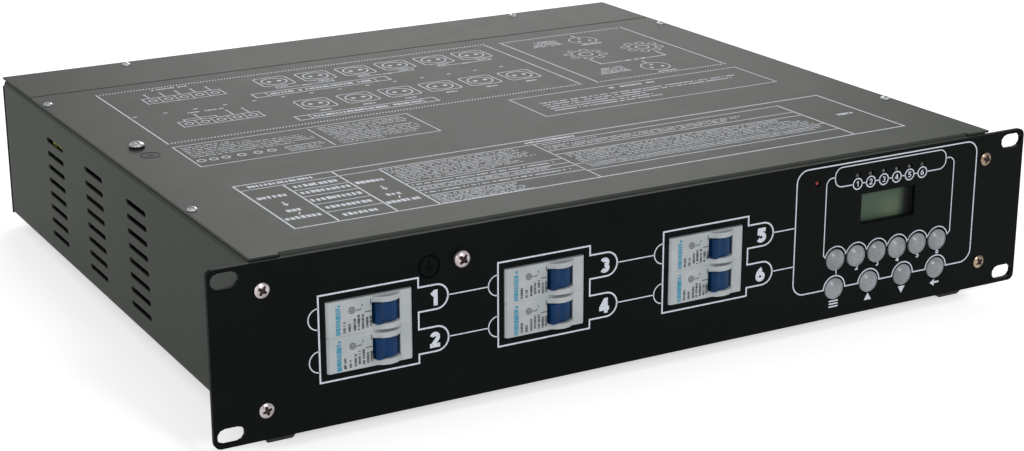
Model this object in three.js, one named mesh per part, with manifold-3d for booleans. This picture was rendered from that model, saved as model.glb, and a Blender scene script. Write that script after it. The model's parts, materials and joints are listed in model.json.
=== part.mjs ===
// A lighting dimmer pack for a 19-inch rack, two units high: a folded steel case, a front
// panel with six circuit breakers, a display and ten push buttons, and six safety outlets,
// control sockets and a cable gland at the back.
// Millimetres. +X is right as seen from the front, +Y is to the back, +Z is up.
// The origin is the middle of the underside of the feet.

import * as THREE from 'three';
import { mergeVertices } from 'three/addons/utils/BufferGeometryUtils.js';
import Module from 'manifold-3d';

const wasm = await Module();
wasm.setup();

// Clearances and cuts
const seatGap = 0.3;
const runningGap = 0.35;
const cutOverrun = 2;
const joinOverlap = 0.4;

// Rack panel
const panelWidth = 482.6;
const panelHeight = 88.1;
const panelThickness = 2.5;
const panelCornerRadius = 3.5;
const rackSlotPitchX = 465.1;
const rackSlotPitchZ = 76.2;
const rackSlotLength = 14.2;
const rackSlotHeight = 7.9;

// Folded steel case
const caseWidth = 438;
const caseHeight = 88;
const caseDepth = 402.5;
const caseBottomZ = 1.2;
const sheet = 1.2;
const bendInnerRadius = 1.2;
const topFlangeWidth = 13;
const endFlangeWidth = 15;
const floorLipHeight = 8;

// Lid and rear top cover
const lidInset = 0.3;
const lidSetback = 0.8;
const lidLipHeight = 8;
const lidCornerSlit = 0.6;
const rearCoverDepth = 59.5;
const lidSeamY = caseDepth - rearCoverDepth;
const lidSeamGap = 1.2;
const coverSetback = 0.5;
const rearCornerNotch = 4;

// Side vents
const ventLength = 30.6;
const ventHeight = 3;
const ventPitchY = 69.7;
const ventPitchZ = 8.19;
const ventFirstZ = 13.6;
const ventColumns = 3;
const ventRows = 8;
const ventLastInset = 104.1;
const ventFirstY = caseDepth - ventLastInset - (ventColumns - 1) * ventPitchY;

// Rubber feet
const footBase = 20.6;
const footTip = 13;
const footHeight = 7.6;
const footInsetX = 15;
const footFrontY = 16.8;
const footRecessRadius = 4.4;
const footRecessDepth = 4;
const footHoleRadius = 1.9;
const footSides = 4;

// Circuit breakers, lying on their side in pairs
const breakerGroups = 3;
const breakersPerGroup = 2;
const breakerPairZ = 44.5;
const modulePitch = 18;
const breakerThickness = modulePitch - seatGap;
const noseLength = 45;
const noseDepth = 16.5;
const noseProud = 1;
const noseEdge = 1;
const breakerLength = 80;
const breakerDepth = 62;
const shoulderDrop = 1.5;
const tailChamfer = 6;
const terminalMouthHeight = 9;
const terminalMouthReach = 7;
const terminalMouthStart = 24;
const terminalMouthEnd = 33;
const windowClearance = 0.5;

// Breaker toggles
const toggleOffsetX = 8.75;
const toggleWidth = 11.8;
const toggleSlotLength = 15.4;
const toggleSlotDepth = 2.4;
const drumRadius = 9;
const cheekRadius = 9.9;
const cheekRise = 3.5;
const cheekThickness = 2;
const leverReach = 14;
const leverTipRadius = 2.1;
const leverRootHalf = 3.2;
const leverWaistHalf = 2.2;
const toggleLean = THREE.MathUtils.degToRad(32);
const togglePinRadius = 1.4;
const togglePinLength = 1.4;

// Mounting rail behind the breakers
const railWidth = 35;
const railDepth = 7.5;
const railSheet = 1;
const railBrim = 4;
const railLength = 64;
const railNotchDepth = 5;
const railHookDepth = 3.4;
const railHookReach = 2;
const bracketSheet = 1.5;
const bracketHeight = 78;
const bracketFoot = 16;
const bracketOverhang = 40;

// Push buttons
const buttonRadius = 6.1;
const buttonCrown = 1.2;
const buttonShoulder = 0.25;
const buttonEdge = 0.75;
const capDepth = 2.5;
const stemRadius = 1.7;
const stemLength = 4.4;
const channelButtonPitch = 13.85;
const channelButtonZ = 32.8;
const channelButtons = 6;
const menuButtonPitch = 23.1;
const menuButtonZ = 16.6;
const menuButtons = ['menu_button', 'up_button', 'down_button', 'back_button'];

// Control board, its switches, lamps and display
const boardSheet = 1.6;
const boardStandoff = 9.4;
const boardWidth = 116;
const boardHeight = 74;
const boardCentreZ = 43;
const boardPostInset = 6.6;
const postRadius = 2.6;
const switchSize = 12;
const switchHeight = 4.2;
const switchBoreDepth = 3.4;
const lampRadius = 1.45;
const lampRimRadius = 1.8;
const lampRimLength = 1;
const lampRecess = 0.5;
const lampHoleRadius = 1.65;
const channelLampPitch = 8.73;
const channelLampZ = 77.7;
const powerLampZ = 77.4;
const displayZ = 58.5;
const displayWidth = 36.2;
const displayHeight = 17;
const displayRecess = 4.5;
const displayBackingDepth = 1.6;
const displayFrameBorder = 6;

// Breakers and control board side by side: the gaps between them share the room that is left
const leftGap = 17.15;
const breakerGap = 15.75;
const boardGap = 18.65;
const endGap = 12.3;
const gapSum = leftGap + (breakerGroups - 1) * breakerGap + boardGap + endGap;
const frontRoom = caseWidth - 2 * sheet - breakerGroups * breakerLength - boardWidth;
const gapShare = frontRoom / gapSum;
const breakerGroupPitch = breakerLength + breakerGap * gapShare;
const breakerGroupX = -caseWidth / 2 + sheet + leftGap * gapShare + breakerLength / 2;
const boardCentreX = caseWidth / 2 - sheet - endGap * gapShare - boardWidth / 2;

// Places on the control board, measured from its centre
const buttonStartReach = 32.9;
const channelLampReach = 20.5;
const powerLampReach = 46.9;
const displayOffset = 0.8;
const buttonStartX = boardCentreX - buttonStartReach;
const channelLampX = boardCentreX - channelLampReach;
const powerLampX = boardCentreX - powerLampReach;
const displayX = boardCentreX + displayOffset;

// Outlets and the rear panel
const outlets = 6;
const glandBay = 54;
const socketBay = 84;
const outletPitch = (caseWidth - glandBay - socketBay) / outlets;
const outletFirstX = -caseWidth / 2 + glandBay + outletPitch / 2;
const outletZ = 44.5;
const outletGap = 0.8;
const outletFlange = outletPitch - outletGap;
const outletFlangeThickness = 3;
const outletFlangeCorner = 3.5;
const outletRim = 1;
const outletBodyMargin = 3.2;
const outletBodyRadius = outletFlange / 2 - outletBodyMargin;
const outletBodyDepth = 28;
const outletWall = 1.9;
const outletWellRadius = outletBodyRadius - outletWall;
const outletWellDepth = 17.5;
const outletPinPitch = 19;
const outletPinRadius = 2.7;
const outletPinDepth = 8;
const earthClipWidth = 5;
const earthClipReach = 1.6;
const earthClipSheet = 1;

// Control sockets
const controlInset = 65;
const controlX = caseWidth / 2 - controlInset;
const controlPitchZ = 36;
const controlFlangeWidth = 26;
const controlFlangeHeight = 31;
const controlFlangeThickness = 2;
const controlFlangeCorner = 3;
const controlShellRadius = 11.6;
const controlShellDepth = 20;
const controlWellRadius = 9.7;
const controlWellDepth = 13;
const controlPinLength = 9;
const controlPinRadius = 1.2;
const controlPinCircle = 3.9;
const controlContacts = 3;
const controlHoleRadius = 1.6;
const controlFaceRecess = 1.2;
const latchWidth = 7;
const latchHeight = 3;
const latchRise = 1.6;
const dinInset = 29;
const dinX = caseWidth / 2 - dinInset;
const dinFlangeWidth = 29;
const dinFlangeHeight = 18;
const dinShellRadius = 8;
const dinShellDepth = 14;
const dinCollar = 1.5;
const dinFaceRadius = 6.7;
const dinFaceRecess = 1.2;
const dinHoleRadius = 0.75;
const dinHoleCircle = 4;
const dinHoleDepth = 5;
const dinRingHoles = 7;
const dinRingStep = THREE.MathUtils.degToRad(45);

// Cable gland
const glandInset = 33;
const glandX = -caseWidth / 2 + glandInset;
const glandZ = 44.5;
const glandHexFlat = 30;
const glandHexHeight = 7;
const glandThreadRadius = 12;
const glandThreadLength = 13;
const glandCapRadius = 13.4;
const glandCapHeight = 19;
const glandMouthRadius = 10.2;
const glandBoreRadius = 8.5;
const glandNutHeight = 5;

// Screws and washers
const screwInset = 4.4;
const panelScrewX = caseWidth / 2 - screwInset;
const panelScrewZ = 44.6;
const panelScrewPitchZ = 59.4;
const screwShankRadius = 1.9;
const panelScrewHeadRadius = 4.1;
const panelScrewHeadHeight = 1.1;
const panelScrewLength = 11;
const coverScrewHeadRadius = 3.1;
const coverScrewHeadHeight = 2;
const coverScrewLength = 6;
const coverShankRadius = 1.5;
const lidScrewFirstY = 86;
const lidScrewSeamInset = 22;
const lidScrewPitchY = lidSeamY - lidScrewSeamInset - lidScrewFirstY;
const rearCoverScrewEndInset = 78;
const rearCoverScrewX = caseWidth / 2 - rearCoverScrewEndInset;
const rearCoverScrewInset = 8.5;
const rearPanelScrewEndInset = 8;
const rearPanelScrewX = caseWidth / 2 - rearPanelScrewEndInset;
const frontEarthReach = 49.25;
const frontEarthX = breakerGroupX + frontEarthReach;
const frontEarthZ = 72.4;
const lidEarthInset = 18.7;
const lidEarthX = -caseWidth / 2 + lidEarthInset;
const lidEarthY = 206.5;
const earthShankRadius = 2.4;
const earthHeadRadius = 4.4;
const earthHeadHeight = 2.6;
const earthScrewLength = 10;
const earthWasherRadius = 5.6;
const earthWasherThickness = 0.9;

// Power side
const sinkWidth = 300;
const sinkClearance = 36;
const sinkFrontY = breakerDepth + sinkClearance;
const sinkDepth = 42;
const sinkBase = 5;
const sinkHeight = 60;
const sinkFins = 16;
const finThickness = 2.4;
const channelPitch = 50;
const powerBoardWidth = 300;
const boardSinkGap = 4;
const powerBoardFrontY = sinkFrontY + sinkDepth + boardSinkGap;
const powerBoardRearInset = 88.5;
const powerBoardDepth = caseDepth - powerBoardRearInset - powerBoardFrontY;
const powerBoardStandoff = 9;
const triacWidth = 15.6;
const triacHeight = 20;
const triacThickness = 4.8;
const triacLegWidth = 11;
const triacLegThickness = 0.8;
const triacRaise = 22;
const chokeRadius = 18;
const chokeBoreRadius = 8;
const chokeHeight = 15;
const chokeEdge = 3;
const chokeY = powerBoardFrontY + powerBoardDepth / 3;
const transformerX = 95;
const transformerY = powerBoardFrontY + powerBoardDepth * 3 / 4;
const transformerWidth = 44;
const transformerDepth = 37;
const transformerHeight = 34;
const coilWidth = 26;
const coilOverhang = 5;
const terminalInsetX = 32;
const terminalInsetY = 43.5;
const terminalX = -caseWidth / 2 + terminalInsetX;
const terminalY = caseDepth - terminalInsetY;
const terminalPoles = 5;
const terminalPolePitch = 8;
const terminalDepth = 22;
const terminalHeight = 26;
const terminalStep = 9;
const terminalPortWidth = 5;
const terminalPortDepth = 6;
const terminalPortFloor = 4;

// Earth wire, from the terminal block up to the screw in the lid
const wireRadius = 1.7;
const wireExit = 6.8;
const wireTurn = 22.1;
const wireRise = 13.9;
const wireApproach = 13.6;
const lugRadius = 5;
const lugHoleRadius = 2.8;
const lugThickness = 1.3;
const lugTongueWidth = 6;
const lugTongueLength = 8;

// Facets
const roundSides = 16;
const wellSides = 14;
const hiddenSides = 12;
const cutoutSides = 8;
const buttonSides = 12;
const smallSides = 8;
const tinySides = 6;
const bluntSides = 4;
const bendSteps = 2;
const cornerSteps = 3;
const ventSteps = 3;
const slotSteps = 5;
const wireSteps = 16;
const tipSteps = 4;
const crownSteps = 2;

// Levels worked out from the sizes above
const caseTopZ = caseBottomZ + caseHeight;
const caseHalf = caseWidth / 2;
const lidUnderZ = caseTopZ - sheet;
const flangeTopZ = lidUnderZ - seatGap;
const floorTopZ = caseBottomZ + sheet;
const bendOuterRadius = bendInnerRadius + sheet;
const trayFrontY = panelThickness + seatGap;
const rearPanelY = caseDepth - sheet;
const trayRearY = rearPanelY - seatGap;
const lidFrontY = panelThickness + lidSetback;
const lidHalf = caseHalf - lidInset;
const lidLipHalf = caseHalf - endFlangeWidth - lidCornerSlit;
const noseFaceY = -noseProud;
const toggleAxisDepth = cheekRadius - cheekRise;
const boardFrontY = panelThickness + boardStandoff;
const boardBackY = boardFrontY + boardSheet;
const powerBoardZ = floorTopZ + powerBoardStandoff + seatGap;
const powerBoardTopZ = powerBoardZ + boardSheet;
const footRearY = caseDepth - footFrontY;

const v2 = (x, y) => new THREE.Vector2(x, y);
const both = [-1, 1];

// Outlines

/** Corners of a regular polygon around a place. */
function ring(x, y, radius, sides, start = 0) {
  return Array.from({ length: sides }, (_, i) => {
    const angle = start + (i / sides) * 2 * Math.PI;
    return v2(x + radius * Math.cos(angle), y + radius * Math.sin(angle));
  });
}

/** A hole's outline, with its flats at the radius, so that what is smaller always clears it. */
function bore(x, y, radius, sides) {
  return ring(x, y, radius / Math.cos(Math.PI / sides), sides);
}

/** A rectangle around a place, with round corners. */
function roundedBox(x, y, width, height, radius, steps = cornerSteps) {
  const points = [];
  const centres = [[1, 1], [-1, 1], [-1, -1], [1, -1]];
  centres.forEach(([sx, sy], quarter) => {
    for (let i = 0; i <= steps; i++) {
      const angle = (quarter + i / steps) * Math.PI / 2;
      points.push(v2(
        x + sx * (width / 2 - radius) + radius * Math.cos(angle),
        y + sy * (height / 2 - radius) + radius * Math.sin(angle),
      ));
    }
  });
  return points;
}

/** A plain rectangle between two corners. */
function rectangle(x0, y0, x1, y1) {
  return [v2(x0, y0), v2(x1, y0), v2(x1, y1), v2(x0, y1)];
}

/** A slot with round ends, longer along the first direction. */
function slot(x, y, length, height, steps) {
  const points = [];
  for (const side of [1, -1]) {
    for (let i = 0; i <= steps; i++) {
      const angle = (i / steps - side / 2) * Math.PI;
      points.push(v2(
        x + side * (length - height) / 2 + Math.cos(angle) * height / 2,
        y + Math.sin(angle) * height / 2,
      ));
    }
  }
  return points;
}

/** Section of a folded sheet: its middle line runs through the corners, with a bend at each. */
function foldedSheet(corners, thickness = sheet, innerRadius = bendInnerRadius) {
  const middleRadius = innerRadius + thickness / 2;
  const leftOf = (direction) => v2(-direction.y, direction.x);
  const along = (from, to) => to.clone().sub(from).normalize();
  const path = [{ point: corners[0], normal: leftOf(along(corners[0], corners[1])) }];
  for (let i = 1; i < corners.length - 1; i++) {
    const into = along(corners[i - 1], corners[i]);
    const out = along(corners[i], corners[i + 1]);
    const turn = Math.atan2(into.cross(out), into.dot(out));
    const setback = middleRadius * Math.tan(Math.abs(turn) / 2);
    const start = corners[i].clone().addScaledVector(into, -setback);
    const side = Math.sign(turn);
    const centre = start.addScaledVector(leftOf(into), side * middleRadius);
    for (let step = 0; step <= bendSteps; step++) {
      const normal = leftOf(into).rotateAround(v2(0, 0), turn * step / bendSteps);
      path.push({ point: centre.clone().addScaledVector(normal, -side * middleRadius), normal });
    }
  }
  const last = corners.length - 1;
  path.push({ point: corners[last], normal: leftOf(along(corners[last - 1], corners[last])) });
  const face = (side) => path.map(({ point, normal }) =>
    point.clone().addScaledVector(normal, side * thickness / 2));
  return [...face(1), ...face(-1).reverse()];
}

// Solids from outlines

function extruded(outline, holes, depth) {
  const shape = new THREE.Shape(outline);
  shape.holes = holes.map((points) => new THREE.Path(points));
  return new THREE.ExtrudeGeometry(shape, { depth, bevelEnabled: false, steps: 1 });
}

/** An outline in X and Y, raised from z0 to z1. */
function alongZ(outline, z0, z1, holes = []) {
  return extruded(outline, holes, z1 - z0).translate(0, 0, z0);
}

/** An outline in X and Z, carried back from y0 to y1. */
function alongY(outline, y0, y1, holes = []) {
  return extruded(outline, holes, y1 - y0).rotateX(Math.PI / 2).translate(0, y1, 0);
}

/** An outline in Y and Z, carried right from x0 to x1. */
function alongX(outline, x0, x1, holes = []) {
  return extruded(outline, holes, x1 - x0).rotateX(Math.PI / 2).rotateZ(Math.PI / 2)
    .translate(x0, 0, 0);
}

function block(x0, x1, y0, y1, z0, z1) {
  return new THREE.BoxGeometry(x1 - x0, y1 - y0, z1 - z0)
    .translate((x0 + x1) / 2, (y0 + y1) / 2, (z0 + z1) / 2);
}

/** A profile of radius and height, turned about the Y axis. */
function turned(profile, sides) {
  return new THREE.LatheGeometry(profile.map(([radius, y]) => v2(radius, y)), sides);
}

/** The same, turned about the Z axis, with the profile's height upwards. */
function turnedUpright(profile, sides) {
  return turned(profile, sides).rotateX(Math.PI / 2);
}

/** A closed surface with shared corners, no shrunken triangles and its faces outwards. */
function closed(geometry) {
  const bare = geometry.clone();
  bare.deleteAttribute('normal');
  bare.deleteAttribute('uv');
  const merged = mergeVertices(bare);
  const { array } = merged.index;
  const corner = (i) => new THREE.Vector3().fromBufferAttribute(merged.attributes.position, i);
  const triangles = [];
  let volume = 0;
  for (let i = 0; i < array.length; i += 3) {
    const [a, b, c] = array.slice(i, i + 3);
    if (a === b || b === c || c === a) continue;
    triangles.push([a, b, c]);
    volume += corner(a).dot(corner(b).cross(corner(c)));
  }
  merged.setIndex(triangles.flatMap(([a, b, c]) => (volume < 0 ? [a, c, b] : [a, b, c])));
  return merged;
}

const isSolid = (shape) => shape instanceof wasm.Manifold;

function solid(shape) {
  if (isSolid(shape)) return shape;
  const surface = closed(shape);
  return new wasm.Manifold(new wasm.Mesh({
    numProp: 3,
    vertProperties: new Float32Array(surface.attributes.position.array),
    triVerts: new Uint32Array(surface.index.array),
  }));
}

function surfaceOf(shape) {
  if (!isSolid(shape)) return closed(shape);
  const mesh = shape.getMesh();
  const geometry = new THREE.BufferGeometry();
  geometry.setAttribute('position', new THREE.BufferAttribute(mesh.vertProperties, 3));
  geometry.setIndex(new THREE.BufferAttribute(mesh.triVerts, 1));
  return geometry;
}

const joined = (...shapes) => shapes.map(solid).reduce((sum, next) => sum.add(next));
const cut = (base, ...tools) => tools.map(solid).reduce((rest, tool) => rest.subtract(tool),
  solid(base));
const copies = (shape, places) => places.map(([x, y, z]) =>
  surfaceOf(shape).clone().translate(x, y, z));

// Places shared by several pieces

const footPlaces = both.flatMap((side) => [footFrontY, footRearY].map((y) =>
  [side * (caseHalf - footInsetX), y, caseBottomZ - seatGap]));
const endScrewZ = both.map((side) => panelScrewZ + side * panelScrewPitchZ / 2);
const panelScrewPlaces = both.flatMap((side) => endScrewZ.map((z) =>
  [side * panelScrewX, 0, z]));
const rearPanelScrewPlaces = both.flatMap((side) => endScrewZ.map((z) =>
  [side * rearPanelScrewX, caseDepth, z]));
const lidScrewPlaces = both.flatMap((side) => [0, lidScrewPitchY].map((step) =>
  [side * panelScrewX, lidScrewFirstY + step, caseTopZ]));
const rearCoverScrewPlaces = both.map((side) =>
  [side * rearCoverScrewX, caseDepth - rearCoverScrewInset, caseTopZ]);
const outletPlaces = Array.from({ length: outlets }, (_, i) =>
  [outletFirstX + i * outletPitch, caseDepth, outletZ]);
const controlPlaces = both.map((side) => [controlX, caseDepth, outletZ + side * controlPitchZ / 2]);
const dinPlaces = both.map((side) => [dinX, caseDepth, outletZ + side * controlPitchZ / 2]);
const channelButtonPlaces = Array.from({ length: channelButtons }, (_, i) =>
  [buttonStartX + i * channelButtonPitch, 0, channelButtonZ]);
const menuButtonPlaces = menuButtons.map((_, i) =>
  [buttonStartX + i * menuButtonPitch, 0, menuButtonZ]);
const buttonPlaces = [...channelButtonPlaces, ...menuButtonPlaces];
const lampPlaces = [
  [powerLampX, 0, powerLampZ],
  ...Array.from({ length: channelButtons }, (_, i) =>
    [channelLampX + i * channelLampPitch, 0, channelLampZ]),
];
const breakerGroupPlaces = Array.from({ length: breakerGroups }, (_, i) =>
  [breakerGroupX + i * breakerGroupPitch, noseFaceY, breakerPairZ]);
const breakerPlaces = breakerGroupPlaces.flatMap(([x, y, z]) =>
  Array.from({ length: breakersPerGroup }, (_, row) =>
    [x, y, z + modulePitch * ((breakersPerGroup - 1) / 2 - row)]));
const boardPostPlaces = both.flatMap((sx) => both.map((sz) => [
  boardCentreX + sx * (boardWidth / 2 - boardPostInset), boardFrontY,
  boardCentreZ + sz * (boardHeight / 2 - boardPostInset)]));
const channelXs = Array.from({ length: outlets }, (_, i) =>
  (i - (outlets - 1) / 2) * channelPitch);

// Folded steel case

/** Tray: floor, side walls with vents, top shelves, and inward flanges at both ends. */
function chassisTray() {
  const wall = caseHalf - sheet / 2;
  const floor = caseBottomZ + sheet / 2;
  const shelf = flangeTopZ - sheet / 2;
  const shelfEdge = caseHalf - topFlangeWidth;
  const section = foldedSheet([
    v2(-shelfEdge, shelf), v2(-wall, shelf), v2(-wall, floor),
    v2(wall, floor), v2(wall, shelf), v2(shelfEdge, shelf),
  ]);
  const relief = bendOuterRadius;
  const parts = [alongY(section, trayFrontY + relief, trayRearY - relief)];
  const ends = [[trayFrontY, 1], [trayRearY, -1]];
  for (const [endY, inward] of ends) {
    const skin = endY + inward * sheet / 2;
    const root = endY + inward * (relief + bendOuterRadius);
    for (const side of both) {
      const flange = foldedSheet([
        v2(side * wall, root), v2(side * wall, skin), v2(side * (caseHalf - endFlangeWidth), skin),
      ]);
      parts.push(alongZ(flange, floorTopZ + relief, flangeTopZ - sheet - relief));
    }
    const lip = foldedSheet([
      v2(root, floor), v2(skin, floor), v2(skin, caseBottomZ + floorLipHeight),
    ]);
    const lipHalf = caseHalf - endFlangeWidth - relief;
    parts.push(alongX(lip, -lipHalf, lipHalf));
  }
  const vents = [];
  for (let column = 0; column < ventColumns; column++) {
    for (let row = 0; row < ventRows; row++) {
      const outline = slot(ventFirstY + column * ventPitchY, ventFirstZ + row * ventPitchZ,
        ventLength, ventHeight, ventSteps);
      vents.push(alongX(outline, -caseHalf - cutOverrun, caseHalf + cutOverrun));
    }
  }
  const screwHoles = [
    ...panelScrewPlaces.map(([x, , z]) => alongY(
      bore(x, z, screwShankRadius + runningGap, tinySides), 0, trayFrontY + sheet + cutOverrun)),
    ...lidScrewPlaces.map(([x, y, z]) => alongZ(
      bore(x, y, coverShankRadius + runningGap, tinySides), flangeTopZ - sheet - cutOverrun, z)),
  ];
  return cut(joined(...parts), ...vents, ...screwHoles);
}

/** Lid: a flat sheet with a lip folded down at the front, and a flat tongue at each front corner. */
function topLid() {
  const face = caseTopZ - sheet / 2;
  const skin = lidFrontY + sheet / 2;
  const bendEndY = lidFrontY + bendOuterRadius;
  const seamY = lidSeamY - lidSeamGap / 2;
  const lip = foldedSheet([
    v2(bendEndY + joinOverlap, face), v2(skin, face), v2(skin, caseTopZ - lidLipHeight),
  ]);
  const tongues = both.map((side) => {
    const inner = side * (lidLipHalf + lidCornerSlit);
    return block(Math.min(inner, side * lidHalf), Math.max(inner, side * lidHalf),
      lidFrontY, bendEndY + joinOverlap, lidUnderZ, caseTopZ);
  });
  const sheetTop = block(-lidHalf, lidHalf, bendEndY, seamY, lidUnderZ, caseTopZ);
  const holes = lidScrewPlaces.map(([x, y, z]) => alongZ(
    bore(x, y, coverShankRadius + runningGap, tinySides), lidUnderZ - cutOverrun, z + cutOverrun));
  const earthHole = alongZ(bore(lidEarthX, lidEarthY, earthShankRadius + runningGap, tinySides),
    lidUnderZ - cutOverrun, caseTopZ + cutOverrun);
  return cut(joined(sheetTop, alongX(lip, -lidLipHalf, lidLipHalf), ...tongues), ...holes,
    earthHole);
}

/** Rear top cover, over the wiring space. */
function rearTopCover() {
  const outline = rectangle(-lidHalf, lidSeamY + lidSeamGap / 2, lidHalf, caseDepth - coverSetback);
  const holes = rearCoverScrewPlaces.map(([x, y]) =>
    bore(x, y, coverShankRadius + runningGap, tinySides));
  return alongZ(outline, lidUnderZ, caseTopZ, holes);
}

/** Rear panel, folded forward at the top to carry the rear top cover, its top corners notched. */
function rearPanel() {
  const skin = caseDepth - sheet / 2;
  const top = flangeTopZ - sheet / 2;
  const shelfEdge = caseHalf - endFlangeWidth;
  const section = foldedSheet([
    v2(caseDepth - topFlangeWidth - rearCoverScrewInset / 2, top), v2(skin, top),
    v2(skin, caseBottomZ),
  ]);
  const body = alongX(section, -caseHalf, caseHalf);
  const ends = both.map((side) => block(
    side < 0 ? -caseHalf - cutOverrun : shelfEdge, side < 0 ? -shelfEdge : caseHalf + cutOverrun,
    caseDepth / 2, rearPanelY, caseBottomZ, caseTopZ));
  const notches = both.map((side) => block(
    side < 0 ? -caseHalf - cutOverrun : caseHalf - rearCornerNotch,
    side < 0 ? -caseHalf + rearCornerNotch : caseHalf + cutOverrun,
    caseDepth / 2, caseDepth + cutOverrun, flangeTopZ - rearCornerNotch, caseTopZ));
  const through = (outline) => alongY(outline, rearPanelY - cutOverrun, caseDepth + cutOverrun);
  const cuts = [
    ...outletPlaces.map(([x, , z]) => bore(x, z, outletBodyRadius + seatGap, cutoutSides)),
    ...controlPlaces.map(([x, , z]) => bore(x, z, controlShellRadius + seatGap, hiddenSides)),
    ...dinPlaces.map(([x, , z]) => bore(x, z, dinShellRadius + seatGap, hiddenSides)),
    bore(glandX, glandZ, glandThreadRadius + seatGap, cutoutSides),
    ...rearPanelScrewPlaces.map(([x, , z]) =>
      bore(x, z, coverShankRadius + runningGap, tinySides)),
  ].map(through);
  const coverHoles = rearCoverScrewPlaces.map(([x, y]) => alongZ(
    bore(x, y, coverShankRadius + runningGap, tinySides), top - sheet - cutOverrun, caseTopZ));
  return cut(body, ...ends, ...notches, ...cuts, ...coverHoles);
}

/** Front panel, with rack slots, breaker windows, and holes for buttons, lamps and display. */
function frontPanel() {
  const slots = both.flatMap((sx) => both.map((sz) => slot(sx * rackSlotPitchX / 2,
    panelHeight / 2 + sz * rackSlotPitchZ / 2, rackSlotLength, rackSlotHeight, slotSteps)));
  const windowWidth = noseLength + 2 * windowClearance;
  const windowHeight = breakersPerGroup * modulePitch + 2 * windowClearance;
  const windows = breakerGroupPlaces.map(([x, , z]) => rectangle(
    x - windowWidth / 2, z - windowHeight / 2, x + windowWidth / 2, z + windowHeight / 2));
  const holes = [
    ...slots,
    ...windows,
    rectangle(displayX - displayWidth / 2, displayZ - displayHeight / 2,
      displayX + displayWidth / 2, displayZ + displayHeight / 2),
    ...buttonPlaces.map(([x, , z]) => bore(x, z, buttonRadius + runningGap, buttonSides)),
    ...lampPlaces.map(([x, , z]) => bore(x, z, lampHoleRadius, tinySides)),
    ...panelScrewPlaces.map(([x, , z]) => bore(x, z, screwShankRadius + runningGap, tinySides)),
    bore(frontEarthX, frontEarthZ, earthShankRadius + runningGap, tinySides),
  ];
  const outline = roundedBox(0, panelHeight / 2, panelWidth, panelHeight, panelCornerRadius);
  return cut(alongY(outline, 0, panelThickness), ...holes.map((points) =>
    alongY(points, -cutOverrun, panelThickness + cutOverrun)));
}

/** Rubber foot: a square block that tapers downwards, with a recess for its screw. */
function rubberFoot() {
  const half = Math.SQRT1_2;
  const body = turnedUpright([
    [0, 0], [footBase * half, 0], [footTip * half, -footHeight], [0, -footHeight],
  ], footSides).rotateZ(Math.PI / 4);
  const recess = alongZ(bore(0, 0, footRecessRadius, smallSides),
    -footHeight - cutOverrun, -footHeight + footRecessDepth);
  const hole = alongZ(bore(0, 0, footHoleRadius, tinySides), -footHeight - cutOverrun, cutOverrun);
  return cut(body, recess, hole);
}

// Breakers

/** Breaker housing: nose with two round cheeks and a toggle pocket, and a rail hook behind. */
function breakerHousing() {
  const half = breakerLength / 2;
  const nose = noseLength / 2;
  const notch = railWidth / 2 + seatGap;
  const back = breakerDepth;
  const side = (sign) => [
    v2(sign * (nose - noseEdge), 0),
    v2(sign * nose, noseEdge),
    v2(sign * nose, noseDepth),
    v2(sign * half, noseDepth + shoulderDrop),
    v2(sign * half, back - tailChamfer),
    v2(sign * (half - tailChamfer), back),
    v2(sign * (notch - railHookReach), back),
    v2(sign * (notch - railHookReach), back - railHookDepth),
    v2(sign * notch, back - railHookDepth),
    v2(sign * notch, back - railNotchDepth),
  ];
  const outline = [...side(1), ...side(-1).reverse()];
  const body = alongZ(outline, -breakerThickness / 2, breakerThickness / 2);
  const pocketHalf = toggleWidth / 2 + seatGap;
  const cheekOutline = ring(toggleOffsetX, toggleAxisDepth, cheekRadius, roundSides);
  const cheeks = both.map((sign) => alongZ(cheekOutline,
    sign < 0 ? -pocketHalf - cheekThickness : pocketHalf,
    sign < 0 ? -pocketHalf : pocketHalf + cheekThickness));
  const pocket = alongZ(bore(toggleOffsetX, toggleAxisDepth, drumRadius + runningGap, roundSides),
    -pocketHalf, pocketHalf);
  const toggleSlot = block(toggleOffsetX - toggleSlotLength / 2,
    toggleOffsetX + toggleSlotLength / 2, -cutOverrun, toggleSlotDepth, -pocketHalf, pocketHalf);
  const mouths = both.map((sign) => block(
    sign < 0 ? -half - cutOverrun : half - terminalMouthReach,
    sign < 0 ? -half + terminalMouthReach : half + cutOverrun,
    terminalMouthStart, terminalMouthEnd, -terminalMouthHeight / 2, terminalMouthHeight / 2));
  const pinHalf = toggleWidth / 2 + togglePinLength + runningGap;
  const pinHole = alongZ(bore(toggleOffsetX, toggleAxisDepth, togglePinRadius + runningGap,
    tinySides), -pinHalf, pinHalf);
  return cut(joined(body, ...cheeks), pocket, toggleSlot, pinHole, ...mouths);
}

/** Toggle: a drum between the cheeks, with a waisted lever and two moulded pivot pins. */
function breakerToggle() {
  const rootAngle = Math.asin(leverRootHalf / drumRadius);
  const drum = [];
  for (let i = 0; i <= roundSides; i++) {
    const angle = -Math.PI / 2 + rootAngle + (i / roundSides) * 2 * (Math.PI - rootAngle);
    drum.push(v2(drumRadius * Math.cos(angle), drumRadius * Math.sin(angle)));
  }
  const tipY = leverTipRadius - leverReach;
  const waistY = (tipY - drumRadius * Math.cos(rootAngle)) / 2;
  const tip = Array.from({ length: tipSteps + 1 }, (_, i) => {
    const angle = Math.PI + (i / tipSteps) * Math.PI;
    return v2(leverTipRadius * Math.cos(angle), tipY + leverTipRadius * Math.sin(angle));
  });
  const outline = [...drum, v2(-leverWaistHalf, waistY), ...tip, v2(leverWaistHalf, waistY)];
  const body = alongZ(outline, -toggleWidth / 2, toggleWidth / 2);
  const pinHalf = toggleWidth / 2 + togglePinLength;
  const pins = alongZ(ring(0, 0, togglePinRadius, tinySides), -pinHalf, pinHalf);
  return joined(body, pins);
}

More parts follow.
